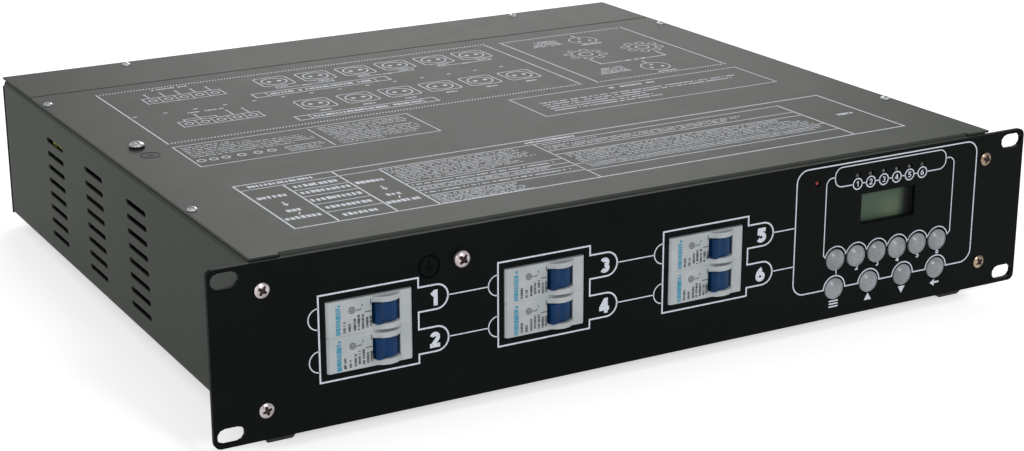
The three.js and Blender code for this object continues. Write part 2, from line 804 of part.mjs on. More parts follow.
/** Folded bracket on the tray's floor, with an upright top-hat rail for each pair of breakers. */
function breakerBracket() {
  const brimY = noseFaceY + breakerDepth - railNotchDepth + seatGap + railSheet / 2;
  const crownY = brimY - railSheet + railDepth;
  const half = railWidth / 2;
  const crownHalf = half - railBrim;
  const rails = breakerGroupPlaces.map(([x, , z]) => alongZ(foldedSheet([
    v2(x - half, brimY), v2(x - crownHalf, brimY), v2(x - crownHalf, crownY),
    v2(x + crownHalf, crownY), v2(x + crownHalf, brimY), v2(x + half, brimY),
  ], railSheet, railSheet / 2), z - railLength / 2, z + railLength / 2));
  const plateY = crownY + railSheet / 2 - joinOverlap + bracketSheet / 2;
  const foot = floorTopZ + seatGap + bracketSheet / 2;
  const section = foldedSheet([
    v2(plateY + bracketFoot, foot), v2(plateY, foot), v2(plateY, floorTopZ + bracketHeight),
  ], bracketSheet);
  const lastX = breakerGroupX + (breakerGroups - 1) * breakerGroupPitch;
  const plate = alongX(section, breakerGroupX - bracketOverhang, lastX + bracketOverhang);
  return joined(plate, ...rails);
}

// Control panel

/** Push button: a crowned cap with a stem that runs in its switch. */
function pushButton() {
  const crown = [];
  for (let i = 0; i <= crownSteps; i++) {
    const share = i / crownSteps;
    const radius = share * (buttonRadius - buttonEdge);
    crown.push([radius, -buttonCrown + (buttonCrown - buttonShoulder) * share * share]);
  }
  const back = panelThickness + capDepth;
  return turned([
    ...crown, [buttonRadius, buttonEdge], [buttonRadius, back], [stemRadius, back],
    [stemRadius, back + stemLength], [0, back + stemLength],
  ], buttonSides);
}

/** Switch bodies behind the buttons, each with a bore for the stem. */
function buttonSwitches() {
  const front = boardFrontY - switchHeight;
  const body = cut(
    block(-switchSize / 2, switchSize / 2, front, boardFrontY + joinOverlap,
      -switchSize / 2, switchSize / 2),
    alongY(bore(0, 0, stemRadius + runningGap, bluntSides), front - cutOverrun,
      front + switchBoreDepth),
  );
  return copies(body, buttonPlaces);
}

/** Lamps in the panel: each a round lens with a rim, standing on the control board. */
function indicatorLamps() {
  const shoulder = lampRadius * (1 - Math.SQRT1_2);
  const lens = turned([
    [0, lampRecess], [lampRadius * Math.SQRT1_2, lampRecess + shoulder],
    [lampRadius, lampRecess + lampRadius], [lampRadius, boardFrontY - lampRimLength],
    [lampRimRadius, boardFrontY - lampRimLength], [lampRimRadius, boardFrontY + joinOverlap],
    [0, boardFrontY + joinOverlap],
  ], tinySides);
  return copies(lens, lampPlaces);
}

/** Frame that holds the display glass against the panel's opening. */
function displayFrame() {
  const front = panelThickness + seatGap;
  const halfWidth = displayWidth / 2 + displayFrameBorder;
  const halfHeight = displayHeight / 2 + displayFrameBorder / 2;
  const body = block(displayX - halfWidth, displayX + halfWidth, front, boardFrontY + joinOverlap,
    displayZ - halfHeight, displayZ + halfHeight);
  const well = block(displayX - displayWidth / 2 - seatGap, displayX + displayWidth / 2 + seatGap,
    front - cutOverrun, boardFrontY - displayBackingDepth, displayZ - displayHeight / 2 - seatGap,
    displayZ + displayHeight / 2 + seatGap);
  return cut(body, well);
}

/** Control board on four posts, with its switches, lamps, display frame, processor and plug. */
function controlBoard() {
  const left = boardCentreX - boardWidth / 2;
  const bottom = boardCentreZ - boardHeight / 2;
  const board = block(left, left + boardWidth, boardFrontY, boardBackY, bottom,
    bottom + boardHeight);
  const chip = block(boardCentreX - switchSize / 2, boardCentreX + switchSize / 2,
    boardBackY - joinOverlap, boardBackY + boardSheet, boardCentreZ - switchSize / 2,
    boardCentreZ + switchSize / 2);
  const plug = block(left + switchSize, left + 2 * switchSize, boardBackY - joinOverlap,
    boardBackY + switchSize / 2, bottom + switchSize, bottom + switchSize + 2 * postRadius);
  const post = alongY(ring(0, 0, postRadius, tinySides), panelThickness + seatGap - boardFrontY,
    joinOverlap);
  return joined(board, chip, plug, displayFrame(), ...buttonSwitches(), ...indicatorLamps(),
    ...copies(post, boardPostPlaces));
}

/** Display glass, set back behind the panel's face. */
function displayGlass() {
  const back = boardFrontY - seatGap - displayBackingDepth;
  return block(displayX - displayWidth / 2, displayX + displayWidth / 2, displayRecess, back,
    displayZ - displayHeight / 2, displayZ + displayHeight / 2);
}

// Rear sockets, drawn around the place where their axis meets the rear panel's outer face

/** Safety outlet: a square flange, a round well with two pin holes, and two earth clips. */
function safetyOutlet() {
  const flangeY = seatGap + outletFlangeThickness;
  const mouthY = flangeY + outletRim;
  const floorY = mouthY - outletWellDepth;
  const flange = alongY(roundedBox(0, 0, outletFlange, outletFlange, outletFlangeCorner, bendSteps),
    seatGap, flangeY);
  const body = alongY(ring(0, 0, outletBodyRadius, wellSides), -outletBodyDepth, mouthY);
  const well = alongY(bore(0, 0, outletWellRadius, wellSides), floorY, mouthY + cutOverrun);
  const pinHoles = both.map((side) => alongY(
    bore(side * outletPinPitch / 2, 0, outletPinRadius, tinySides),
    floorY - outletPinDepth, floorY + cutOverrun));
  const clips = both.map((side) => {
    const outer = side * (outletWellRadius + joinOverlap);
    const inner = side * (outletWellRadius - earthClipReach);
    return block(-earthClipWidth / 2, earthClipWidth / 2, floorY - joinOverlap,
      flangeY - earthClipSheet, Math.min(outer, inner), Math.max(outer, inner));
  });
  return joined(cut(joined(flange, body), well, ...pinHoles), ...clips);
}

function controlShell() {
  const flangeY = seatGap + controlFlangeThickness;
  const flange = alongY(roundedBox(0, 0, controlFlangeWidth, controlFlangeHeight,
    controlFlangeCorner, bendSteps), seatGap, flangeY);
  const shell = alongY(ring(0, 0, controlShellRadius, wellSides), -controlShellDepth, flangeY);
  return { flangeY, body: joined(flange, shell) };
}

/** Places of the three contacts around a control socket's axis. */
const contactPlaces = (sign) => ring(0, 0, controlPinCircle, controlContacts, sign * Math.PI / 2)
  .map((point) => [point.x, point.y]);

/** Control input: a round well with three pins. */
function controlInput() {
  const { flangeY, body } = controlShell();
  const floorY = flangeY - controlWellDepth;
  const well = alongY(bore(0, 0, controlWellRadius, wellSides), floorY, flangeY + cutOverrun);
  const pins = contactPlaces(-1).map(([x, z]) => alongY(
    ring(x, z, controlPinRadius, tinySides), floorY - joinOverlap, floorY + controlPinLength));
  return joined(cut(body, well), ...pins);
}

/** Control output: a face with three holes, and a latch above it. */
function controlOutput() {
  const { flangeY, body } = controlShell();
  const faceY = flangeY - controlFaceRecess;
  const recess = alongY(bore(0, 0, controlWellRadius, wellSides), faceY, flangeY + cutOverrun);
  const holes = contactPlaces(1).map(([x, z]) => alongY(
    bore(x, z, controlHoleRadius, tinySides), flangeY - controlWellDepth, flangeY));
  const latchZ = controlWellRadius + latchHeight;
  const latch = block(-latchWidth / 2, latchWidth / 2, flangeY - joinOverlap,
    flangeY + latchRise, latchZ - latchHeight, latchZ);
  return joined(cut(body, recess, ...holes), latch);
}

/** Round eight-hole control socket. */
function dinSocket() {
  const flangeY = seatGap + controlFlangeThickness;
  const collarY = flangeY + dinCollar;
  const flange = alongY(slot(0, 0, dinFlangeWidth, dinFlangeHeight, cornerSteps), seatGap, flangeY);
  const shell = alongY(ring(0, 0, dinShellRadius, wellSides), -dinShellDepth, collarY);
  const recess = alongY(bore(0, 0, dinFaceRadius, wellSides), collarY - dinFaceRecess,
    collarY + cutOverrun);
  const firstAngle = -Math.PI / 2 - dinRingStep * (dinRingHoles - 1) / 2 + Math.PI;
  const holePlaces = Array.from({ length: dinRingHoles }, (_, i) => [
    dinHoleCircle * Math.cos(firstAngle + i * dinRingStep),
    dinHoleCircle * Math.sin(firstAngle + i * dinRingStep)]);
  holePlaces.push([0, 0]);
  const holes = holePlaces.map(([x, z]) => alongY(bore(x, z, dinHoleRadius, bluntSides),
    collarY - dinHoleDepth, collarY));
  return cut(joined(flange, shell), recess, ...holes);
}

/** Cable gland: a hexagon body, a threaded stem through the panel, a tapered cap, a lock nut. */
function cableGland() {
  const hexRadius = glandHexFlat / 2 / Math.cos(Math.PI / tinySides);
  const hexY = seatGap + glandHexHeight;
  const capY = hexY + glandCapHeight;
  const hexagon = alongY(ring(0, 0, hexRadius, tinySides), seatGap, hexY);
  const stem = turned([[0, -glandThreadLength], [glandThreadRadius, -glandThreadLength],
    [glandThreadRadius, hexY], [0, hexY]], wellSides);
  const cap = turned([
    [0, hexY - joinOverlap], [glandCapRadius, hexY - joinOverlap],
    [glandCapRadius, hexY + glandCapHeight / 2], [glandMouthRadius, capY], [0, capY],
  ], wellSides);
  const hole = alongY(bore(0, 0, glandBoreRadius, wellSides), -glandThreadLength - cutOverrun,
    capY + cutOverrun);
  const nutFront = -sheet - seatGap;
  const nut = alongY(ring(0, 0, hexRadius, tinySides), nutFront - glandNutHeight, nutFront);
  return cut(joined(hexagon, stem, cap, nut), hole);
}

// Screws, nuts and washers

/** A screw along Y: a low round head in front of y = 0 and a shank behind it. */
function screw(headRadius, headHeight, shankRadius, length, sides) {
  const crown = headRadius * Math.SQRT1_2;
  return turned([
    [0, -headHeight - seatGap], [crown, -headHeight - seatGap],
    [headRadius, -headHeight / 2 - seatGap], [headRadius, -seatGap], [shankRadius, -seatGap],
    [shankRadius, length], [0, length],
  ], sides);
}

const panelScrew = () => screw(panelScrewHeadRadius, panelScrewHeadHeight, screwShankRadius,
  panelScrewLength, smallSides);

const coverScrew = () => screw(coverScrewHeadRadius, coverScrewHeadHeight, coverShankRadius,
  coverScrewLength, tinySides);

/** Earth screw with a washer held under its head. */
function earthScrew() {
  const washer = alongY(ring(0, 0, earthWasherRadius, smallSides),
    -seatGap - earthWasherThickness, -seatGap);
  const body = screw(earthHeadRadius, earthHeadHeight, earthShankRadius, earthScrewLength,
    smallSides).translate(0, joinOverlap - earthWasherThickness, 0);
  return joined(body, washer);
}

// Power side

/** Heat sink: an extruded bar with fins forward and a flat face for the triacs behind. */
function heatSink() {
  const left = -sinkWidth / 2;
  const step = (sinkWidth - finThickness) / (sinkFins - 1);
  const rootY = sinkFrontY + sinkDepth - sinkBase;
  const outline = [v2(left + sinkWidth, sinkFrontY + sinkDepth), v2(left, sinkFrontY + sinkDepth)];
  for (let i = 0; i < sinkFins; i++) {
    const x = left + i * step;
    outline.push(...(i > 0 ? [v2(x, rootY)] : []), v2(x, sinkFrontY),
      v2(x + finThickness, sinkFrontY), ...(i < sinkFins - 1 ? [v2(x + finThickness, rootY)] : []));
  }
  return alongZ(outline, floorTopZ + seatGap, floorTopZ + seatGap + sinkHeight);
}

/** Triacs against the heat sink, with their legs down to the power board. */
function triacs() {
  const y = sinkFrontY + sinkDepth + seatGap;
  const bottom = powerBoardTopZ + triacRaise;
  const body = block(-triacWidth / 2, triacWidth / 2, y, y + triacThickness, bottom,
    bottom + triacHeight);
  const legs = block(-triacLegWidth / 2, triacLegWidth / 2, y + triacThickness - triacLegThickness,
    y + triacThickness, powerBoardTopZ - joinOverlap, bottom + joinOverlap);
  return copies(joined(body, legs), channelXs.map((x) => [x, 0, 0]));
}

/** Interference chokes: one wound ring for each channel, flat on the power board. */
function chokes() {
  const low = powerBoardTopZ - joinOverlap;
  const high = low + chokeHeight;
  const core = turnedUpright([
    [chokeBoreRadius, low], [chokeRadius - chokeEdge / 2, low], [chokeRadius, low + chokeEdge],
    [chokeRadius, high - chokeEdge], [chokeRadius - chokeEdge, high], [chokeBoreRadius, high],
    [chokeBoreRadius, low],
  ], smallSides);
  return copies(core, channelXs.map((x) => [x, chokeY, 0]));
}

/** Power board on four posts, with the triacs and chokes soldered to it. */
function powerBoard() {
  const board = block(-powerBoardWidth / 2, powerBoardWidth / 2, powerBoardFrontY,
    powerBoardFrontY + powerBoardDepth, powerBoardZ, powerBoardTopZ);
  const post = alongZ(ring(0, 0, postRadius, tinySides), floorTopZ + seatGap,
    powerBoardZ + joinOverlap);
  const postPlaces = both.flatMap((sx) => both.map((sy) => [
    sx * (powerBoardWidth / 2 - boardPostInset),
    powerBoardFrontY + powerBoardDepth / 2 + sy * (powerBoardDepth / 2 - boardPostInset), 0]));
  return joined(board, ...triacs(), ...chokes(), ...copies(post, postPlaces));
}

/** Mains transformer: a laminated core with its coil through it. */
function mainsTransformer() {
  const low = powerBoardTopZ + seatGap;
  const coilLow = low + coilOverhang;
  const core = block(transformerX - transformerWidth / 2, transformerX + transformerWidth / 2,
    transformerY - transformerDepth / 2 + coilOverhang,
    transformerY + transformerDepth / 2 - coilOverhang, low, low + transformerHeight);
  const coil = block(transformerX - coilWidth / 2, transformerX + coilWidth / 2,
    transformerY - transformerDepth / 2, transformerY + transformerDepth / 2,
    coilLow, low + transformerHeight - coilOverhang);
  return joined(core, coil);
}

/** Terminal block for the mains cable: a stepped bar with a port for each pole. */
function terminalBlock() {
  const halfWidth = terminalPoles * terminalPolePitch / 2;
  const low = floorTopZ + seatGap;
  const front = terminalY - terminalDepth / 2;
  const back = terminalY + terminalDepth / 2;
  const section = [
    v2(front, low), v2(back, low), v2(back, low + terminalHeight - terminalStep),
    v2(back - terminalStep / 2, low + terminalHeight - terminalStep),
    v2(back - terminalStep / 2, low + terminalHeight),
    v2(front + terminalStep / 2, low + terminalHeight),
    v2(front + terminalStep / 2, low + terminalHeight - terminalStep),
    v2(front, low + terminalHeight - terminalStep),
  ];
  const body = alongX(section, terminalX - halfWidth, terminalX + halfWidth);
  const ports = Array.from({ length: terminalPoles }, (_, i) => {
    const x = terminalX - halfWidth + (i + 1 / 2) * terminalPolePitch;
    return block(x - terminalPortWidth / 2, x + terminalPortWidth / 2, back - terminalPortDepth,
      back + cutOverrun, low + terminalPortFloor, low + terminalPortFloor + terminalPortWidth);
  });
  return cut(body, ...ports);
}

/** Earth wire, clipped along the left wall, with a ring lug under the lid's earth screw. */
function earthWire() {
  const lugTop = lidUnderZ - seatGap;
  const lugLow = lugTop - lugThickness;
  const endZ = lidUnderZ - 2 * seatGap - wireRadius;
  const endY = lidEarthY + lugRadius + wireRadius;
  const startX = terminalX - (terminalPoles - 1) / 2 * terminalPolePitch;
  const startY = terminalY - terminalDepth / 2 - seatGap;
  const startZ = floorTopZ + terminalHeight / 2;
  const turnZ = startZ + wireRise;
  const wallX = -caseHalf + sheet + 2 * wireRadius;
  const ventY = ventFirstY + (ventColumns - 1) * ventPitchY;
  const topVentZ = ventFirstZ + (ventRows - 1) * ventPitchZ;
  const route = new THREE.CatmullRomCurve3([
    new THREE.Vector3(startX, startY, startZ),
    new THREE.Vector3(startX, startY - wireExit, startZ),
    new THREE.Vector3((startX + wallX) / 2, startY - wireTurn, turnZ),
    new THREE.Vector3(wallX, ventY + ventLength / 2, topVentZ - ventPitchZ),
    new THREE.Vector3(wallX, ventY - ventLength / 4, topVentZ + wireRadius),
    new THREE.Vector3((wallX + lidEarthX) / 2, (ventY + lidEarthY) / 2, (topVentZ + endZ) / 2),
    new THREE.Vector3(lidEarthX, endY + wireApproach, endZ - wireRadius / 2),
    new THREE.Vector3(lidEarthX, endY, endZ),
  ]);
  const section = new THREE.Shape(ring(0, 0, wireRadius, tinySides));
  const wire = new THREE.ExtrudeGeometry(section, { steps: wireSteps, extrudePath: route,
    bevelEnabled: false });
  const lugRing = alongZ(ring(lidEarthX, lidEarthY, lugRadius, smallSides), lugLow, lugTop,
    [bore(lidEarthX, lidEarthY, lugHoleRadius, tinySides)]);
  const tongue = block(lidEarthX - lugTongueWidth / 2, lidEarthX + lugTongueWidth / 2,
    lidEarthY + lugRadius - joinOverlap, lidEarthY + lugRadius + lugTongueLength, lugLow, lugTop);
  return joined(wire, lugRing, tongue);
}

// Finishes

const finishes = {
  panelPaint: [0x141716, 0.5, 0.1],
  casePaint: [0x3a3d3b, 0.55, 0.2],
  rubber: [0x111111, 0.9, 0],
  nickel: [0xc8c4be, 0.28, 1],
  breakerPlastic: [0xd4d5d2, 0.45, 0],
  togglePlastic: [0x123a78, 0.35, 0],
  zincSteel: [0xb4b6b8, 0.35, 1],
  buttonPlastic: [0xa2a2aa, 0.5, 0],
  greenBoard: [0x1f5a33, 0.55, 0],
  blackPlastic: [0x121214, 0.5, 0],
  displayGlass: [0x55665a, 0.15, 0],
  outletPlastic: [0x18191b, 0.45, 0],
  aluminium: [0xb9bbbd, 0.35, 1],
  laminate: [0x6d6f72, 0.5, 0.7],
  terminalPlastic: [0xd9d6cc, 0.5, 0],
  earthInsulation: [0x9fb52a, 0.5, 0],
};

function finish(name) {
  const [color, roughness, metalness] = finishes[name];
  return new THREE.MeshStandardMaterial({ name, color, roughness, metalness });
}

// The assembly

const pack = new THREE.Group();

function addPiece(name, shape, finishName, place = [0, 0, 0]) {
  const mesh = new THREE.Mesh(surfaceOf(shape), finish(finishName));
  mesh.name = name;
  mesh.position.set(...place);
  pack.add(mesh);
  return mesh;
}

addPiece('front_panel', frontPanel(), 'panelPaint');
addPiece('chassis_tray', chassisTray(), 'casePaint');
addPiece('top_lid', topLid(), 'casePaint');
addPiece('rear_top_cover', rearTopCover(), 'casePaint');
addPiece('rear_panel', rearPanel(), 'casePaint');
footPlaces.forEach((place, i) => {
  addPiece(`rubber_foot_${i + 1}`, rubberFoot(), 'rubber', place);
});
panelScrewPlaces.forEach((place, i) => {
  addPiece(`panel_screw_${i + 1}`, panelScrew(), 'nickel', place);
});
lidScrewPlaces.forEach((place, i) => {
  addPiece(`lid_screw_${i + 1}`, coverScrew().rotateX(-Math.PI / 2), 'nickel', place);
});
addPiece('front_earth_screw', earthScrew(), 'nickel', [frontEarthX, 0, frontEarthZ]);
const lidEarthScrew = surfaceOf(earthScrew()).rotateX(-Math.PI / 2);
addPiece('lid_earth_screw', lidEarthScrew, 'nickel', [lidEarthX, lidEarthY, caseTopZ]);

breakerPlaces.forEach((place, i) => {
  const [x, y, z] = place;
  addPiece(`breaker_${i + 1}`, breakerHousing(), 'breakerPlastic', place);
  const toggle = addPiece(`breaker_toggle_${i + 1}`, breakerToggle(), 'togglePlastic',
    [x + toggleOffsetX, y + toggleAxisDepth, z]);
  toggle.rotation.z = -toggleLean;
});
addPiece('breaker_bracket', breakerBracket(), 'zincSteel');

channelButtonPlaces.forEach((place, i) => {
  addPiece(`channel_button_${i + 1}`, pushButton(), 'buttonPlastic', place);
});
menuButtonPlaces.forEach((place, i) => {
  addPiece(menuButtons[i], pushButton(), 'buttonPlastic', place);
});
addPiece('control_board', controlBoard(), 'greenBoard');
addPiece('display_glass', displayGlass(), 'displayGlass');

outletPlaces.forEach((place, i) => {
  addPiece(`outlet_${i + 1}`, safetyOutlet(), 'outletPlastic', place);
});
addPiece('control_input', controlInput(), 'blackPlastic', controlPlaces[1]);
addPiece('control_output', controlOutput(), 'blackPlastic', controlPlaces[0]);
dinPlaces.forEach((place, i) => {
  addPiece(`din_socket_${i + 1}`, dinSocket(), 'blackPlastic', place);
});
addPiece('cable_gland', cableGland(), 'blackPlastic', [glandX, caseDepth, glandZ]);

addPiece('heat_sink', heatSink(), 'aluminium');
addPiece('power_board', powerBoard(), 'greenBoard');
addPiece('mains_transformer', mainsTransformer(), 'laminate');
addPiece('terminal_block', terminalBlock(), 'terminalPlastic');
addPiece('earth_wire', earthWire(), 'earthInsulation');

// Stand the pack on its feet, with the origin under the middle of its outline
pack.updateMatrixWorld(true);
const outer = new THREE.Box3().setFromObject(pack, true);
pack.position.set(0, -(outer.min.y + outer.max.y) / 2, -outer.min.z);

export default pack;
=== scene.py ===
# %% [markdown]
# # Dressing a rack dimmer pack
#
# The CAD model gives every piece its size and its place. This lesson adds what a CAD model leaves
# out: paint with grain, printed lines that stand a hair above the paint, screw heads with their
# crosses, moulded plastic with soft edges, and the light of a small studio. Each step has a cell of
# words, which says what the real thing is, and a cell of code, which makes it.

import json
import math

import bmesh
import bpy
import numpy as np
from mathutils import Euler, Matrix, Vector

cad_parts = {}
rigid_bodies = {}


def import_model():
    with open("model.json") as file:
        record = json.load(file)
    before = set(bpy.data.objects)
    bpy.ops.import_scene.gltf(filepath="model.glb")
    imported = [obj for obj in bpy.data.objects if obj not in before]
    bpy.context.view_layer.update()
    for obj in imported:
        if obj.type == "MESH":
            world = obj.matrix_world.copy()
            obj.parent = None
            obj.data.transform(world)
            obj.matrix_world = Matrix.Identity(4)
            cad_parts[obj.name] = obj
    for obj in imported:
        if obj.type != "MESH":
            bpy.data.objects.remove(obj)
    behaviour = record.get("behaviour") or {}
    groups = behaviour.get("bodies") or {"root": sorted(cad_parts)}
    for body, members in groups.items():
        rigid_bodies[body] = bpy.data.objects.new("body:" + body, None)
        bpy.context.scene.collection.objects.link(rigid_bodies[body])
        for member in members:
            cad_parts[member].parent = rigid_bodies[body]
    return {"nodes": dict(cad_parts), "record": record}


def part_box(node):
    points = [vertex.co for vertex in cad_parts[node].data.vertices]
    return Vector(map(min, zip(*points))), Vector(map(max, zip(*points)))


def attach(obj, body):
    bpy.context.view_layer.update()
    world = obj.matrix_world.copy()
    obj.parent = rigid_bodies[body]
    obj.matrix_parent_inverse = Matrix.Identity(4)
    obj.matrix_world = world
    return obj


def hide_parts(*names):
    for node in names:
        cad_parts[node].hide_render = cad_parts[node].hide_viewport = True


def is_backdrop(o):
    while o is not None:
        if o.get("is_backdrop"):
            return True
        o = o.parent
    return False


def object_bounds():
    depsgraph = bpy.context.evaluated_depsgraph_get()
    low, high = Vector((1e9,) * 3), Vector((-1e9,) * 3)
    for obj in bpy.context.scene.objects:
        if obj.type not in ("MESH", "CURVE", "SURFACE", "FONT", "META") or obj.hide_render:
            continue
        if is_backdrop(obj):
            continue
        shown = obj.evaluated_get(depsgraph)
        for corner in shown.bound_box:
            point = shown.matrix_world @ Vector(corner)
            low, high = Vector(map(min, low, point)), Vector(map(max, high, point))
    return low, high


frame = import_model()
cad_low, cad_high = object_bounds()

# %% [markdown]
# All sizes below are millimetres on the front panel: x runs to the right from its middle, y runs
# back from its front face, and z runs up from its lower edge. One function turns them into the
# frame's metres, so that a number read off the panel can be written down as it is.

# %% Panel millimetres
MM = 0.001
panel_low, panel_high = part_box("front_panel")
PANEL_ORIGIN = np.array([(panel_low.x + panel_high.x) / 2, panel_low.y, panel_low.z])


def metres(points):
    """Panel millimetres to metres: a thousandth of each number, moved by the panel's origin."""
    return np.asarray(points, float) * MM + PANEL_ORIGIN


def node_box(node):
    """A CAD node's lowest and highest corner, back in panel millimetres."""
    low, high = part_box(node)
    return tuple((np.array(corner) - PANEL_ORIGIN) / MM for corner in (low, high))


LID_TOP = node_box("top_lid")[1][2]
print("lid top at", round(float(LID_TOP), 2), "mm above the panel's lower edge")

# %% [markdown]
# The camera comes first. A lens was solved from the rack panel, whose size is standard, so the
# camera stands where the photographer stood: to the left of the pack and a little above it. A
# small shift puts the pack where it is in the picture without turning the camera.

# %% Camera
CAMERA_PLACE = (-0.5450, -0.8158, 0.3902)
CAMERA_TURN = (72.003, 0.824, -27.259)
camera_data = bpy.data.cameras.new("camera")
camera_data.sensor_width = 36
camera_data.lens = 71.676
camera_data.shift_x = 0.0834
camera_data.shift_y = -0.00217
camera = bpy.data.objects.new("camera", camera_data)
camera.location = Vector(PANEL_ORIGIN) + Vector(CAMERA_PLACE)
camera.rotation_euler = Euler([math.radians(angle) for angle in CAMERA_TURN])
bpy.context.scene.collection.objects.link(camera)
bpy.context.scene.camera = camera
print("camera at", [round(value, 3) for value in camera.location])

# %% [markdown]
# Every new piece is a sheet of points worked out with whole arrays. A grid of points needs a list
# of quads between neighbours, and each finished mesh needs its doubles merged, so that seams and
# poles close, and its faces turned outwards. These two helpers do that for all the pieces.

# %% Grids of points into meshes
def grid_faces(rows, columns, around=False):
    """Quads between neighbours on a grid: row by row, and around joins the last column to the
    first."""
    row = np.arange(rows - 1)[:, None]
    column = np.arange(columns if around else columns - 1)[None, :]
    step = (column + 1) % columns
    corners = [row * columns + column, row * columns + step,
               (row + 1) * columns + step, (row + 1) * columns + column]
    return np.stack(corners, -1).reshape(-1, 4)


def mesh_piece(name, points, faces, finish, smooth, body="case", replaces=()):
    """Puts points (in metres) and faces into a mesh, closes it, turns it outwards and rides it."""
    mesh = bpy.data.meshes.new(name)
    mesh.from_pydata(np.asarray(points, float).reshape(-1, 3).tolist(), [],
                     [list(map(int, face)) for face in faces])
    shell = bmesh.new()
    shell.from_mesh(mesh)
    bmesh.ops.remove_doubles(shell, verts=shell.verts, dist=1e-7)
    bmesh.ops.dissolve_degenerate(shell, edges=shell.edges, dist=1e-8)
    bmesh.ops.recalc_face_normals(shell, faces=shell.faces)
    shell.to_mesh(mesh)
    shell.free()
    return finished_piece(name, mesh, finish, smooth, body, replaces)


def finished_piece(name, mesh, finish, smooth, body, replaces):
    """Links a mesh as a piece at the origin: smooth where faces meet at less than the given
    angle in degrees, with its finish and the body that it rides."""
    piece = bpy.data.objects.new(name, mesh)
    bpy.context.scene.collection.objects.link(piece)
    mesh.materials.clear()
    mesh.materials.append(finish.material)
    mesh.polygons.foreach_set("use_smooth", np.ones(len(mesh.polygons), bool))
    mesh.set_sharp_from_angle(angle=math.radians(smooth))
    if replaces:
        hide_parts(*replaces)
    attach(piece, body)
    return piece


print("mesh helpers ready")

# %% [markdown]
# A finish is a node tree, and node trees are slow to read. So a wire, which is an output socket,
# gets the signs of arithmetic: a sum on wires adds Math nodes. Any other node comes from one
# method, which sets its options first and then its values and links.

# %% Shader arithmetic
class Wire:
    """An output socket. The signs + - * and ** on it add Math nodes."""

    def __init__(self, finish, socket):
        self.finish, self.socket = finish, socket

    def out(self, name):
        """Another output of the same node."""
        return Wire(self.finish, self.socket.node.outputs[name])

    def math(self, operation, *values):
        """A Math node on these values."""
        return self.finish.node("ShaderNodeMath", {"operation": operation}, values)

    def __add__(self, other):
        return self.math("ADD", self, other)

    __radd__ = __add__

    def __sub__(self, other):
        return self.math("SUBTRACT", self, other)

    def __mul__(self, other):
        return self.math("MULTIPLY", self, other)

    __rmul__ = __mul__

    def __pow__(self, other):
        return self.math("POWER", self, other)


def paint(red, green, blue):
    """A colour read off a picture, 0 to 255, as the linear colour that shaders use."""
    share = np.array([red, green, blue], float) / 255
    linear = np.where(share <= 0.04045, share / 12.92, ((share + 0.055) / 1.055) ** 2.4)
    return (*[float(value) for value in linear], 1.0)


class Finish:
    """A material with one Principled shader. What is the same all over the surface is set on
    the shader's own sockets by name."""

    def __init__(self, name, **steady):
        self.material = bpy.data.materials.new(name)
        self.material.use_nodes = True
        self.tree = self.material.node_tree
        self.tree.nodes.clear()
        self.shader = self.tree.nodes.new("ShaderNodeBsdfPrincipled")
        output = self.tree.nodes.new("ShaderNodeOutputMaterial")
        self.tree.links.new(self.shader.outputs["BSDF"], output.inputs["Surface"])
        self.place = self.node("ShaderNodeTexCoord").out("Object")
        for socket, value in steady.items():
            self.shader.inputs[socket.replace("_", " ")].default_value = value

    def node(self, kind, settings=None, values=()):
        """Adds a node: its settings first, then the values or wires of its sockets, by place or
        by name."""
        node = self.tree.nodes.new(kind)
        for setting, value in (settings or {}).items():
            setattr(node, setting, value)
        pairs = values.items() if isinstance(values, dict) else enumerate(values)
        for socket, value in pairs:
            self.join(value, node.inputs[socket])
        return Wire(self, node.outputs[0])

    def join(self, value, socket):
        """Links a wire to a socket, or sets the socket's own value."""
        if isinstance(value, Wire):
            self.tree.links.new(value.socket, socket)
        else:
            socket.default_value = value

    def noise(self, scale, detail=3.0, stretch=(1, 1, 1)):
        """Noise of so many lumps a metre, from 0 to 1, stretched along the axes."""
        place = self.node("ShaderNodeMapping", {}, {"Vector": self.place, "Scale": stretch})
        return self.node("ShaderNodeTexNoise", {}, {"Vector": place, "Scale": scale,
                                                    "Detail": detail, "Roughness": 0.6})

    def specks(self, scale, size):
        """Round specks, so many a metre, where the distance to the nearest point is small."""
        cell = self.node("ShaderNodeTexVoronoi", {}, {"Vector": self.place, "Scale": scale})
        return cell.math("LESS_THAN", cell, size)

    def band(self, factor, low, high):
        """0 where the factor is under low, 1 where it is over high, and smooth between."""
        return self.node("ShaderNodeMapRange", {"interpolation_type": "SMOOTHSTEP"},
                         {"Value": factor, "From Min": low, "From Max": high})

    def blend(self, factor, first, second):
        """One colour where the factor is 0, and another where it is 1."""
        mixed = self.node("ShaderNodeMix", {"data_type": "RGBA"}, {0: factor, 6: first, 7: second})
        return mixed.out(2)

    def bump(self, height, depth):
        """A normal from a height between 0 and 1 that stands for so many metres."""
        return self.node("ShaderNodeBump", {}, {"Height": height, "Distance": depth})

    def feed(self, **wires):
        """Joins wires to the shader's sockets by name."""
        for socket, wire in wires.items():
            self.join(wire, self.shader.inputs[socket.replace("_", " ")])
        return self


print("black paint is", [round(value, 4) for value in paint(18, 21, 19)])

# %% [markdown]
# The case is powder coated. The powder melts into a skin with a fine orange peel, its colour is
# never quite even, and a few grains of dust lie on it. The same recipe makes the charcoal of the
# case and the black of the front panel, with other colours and grain.

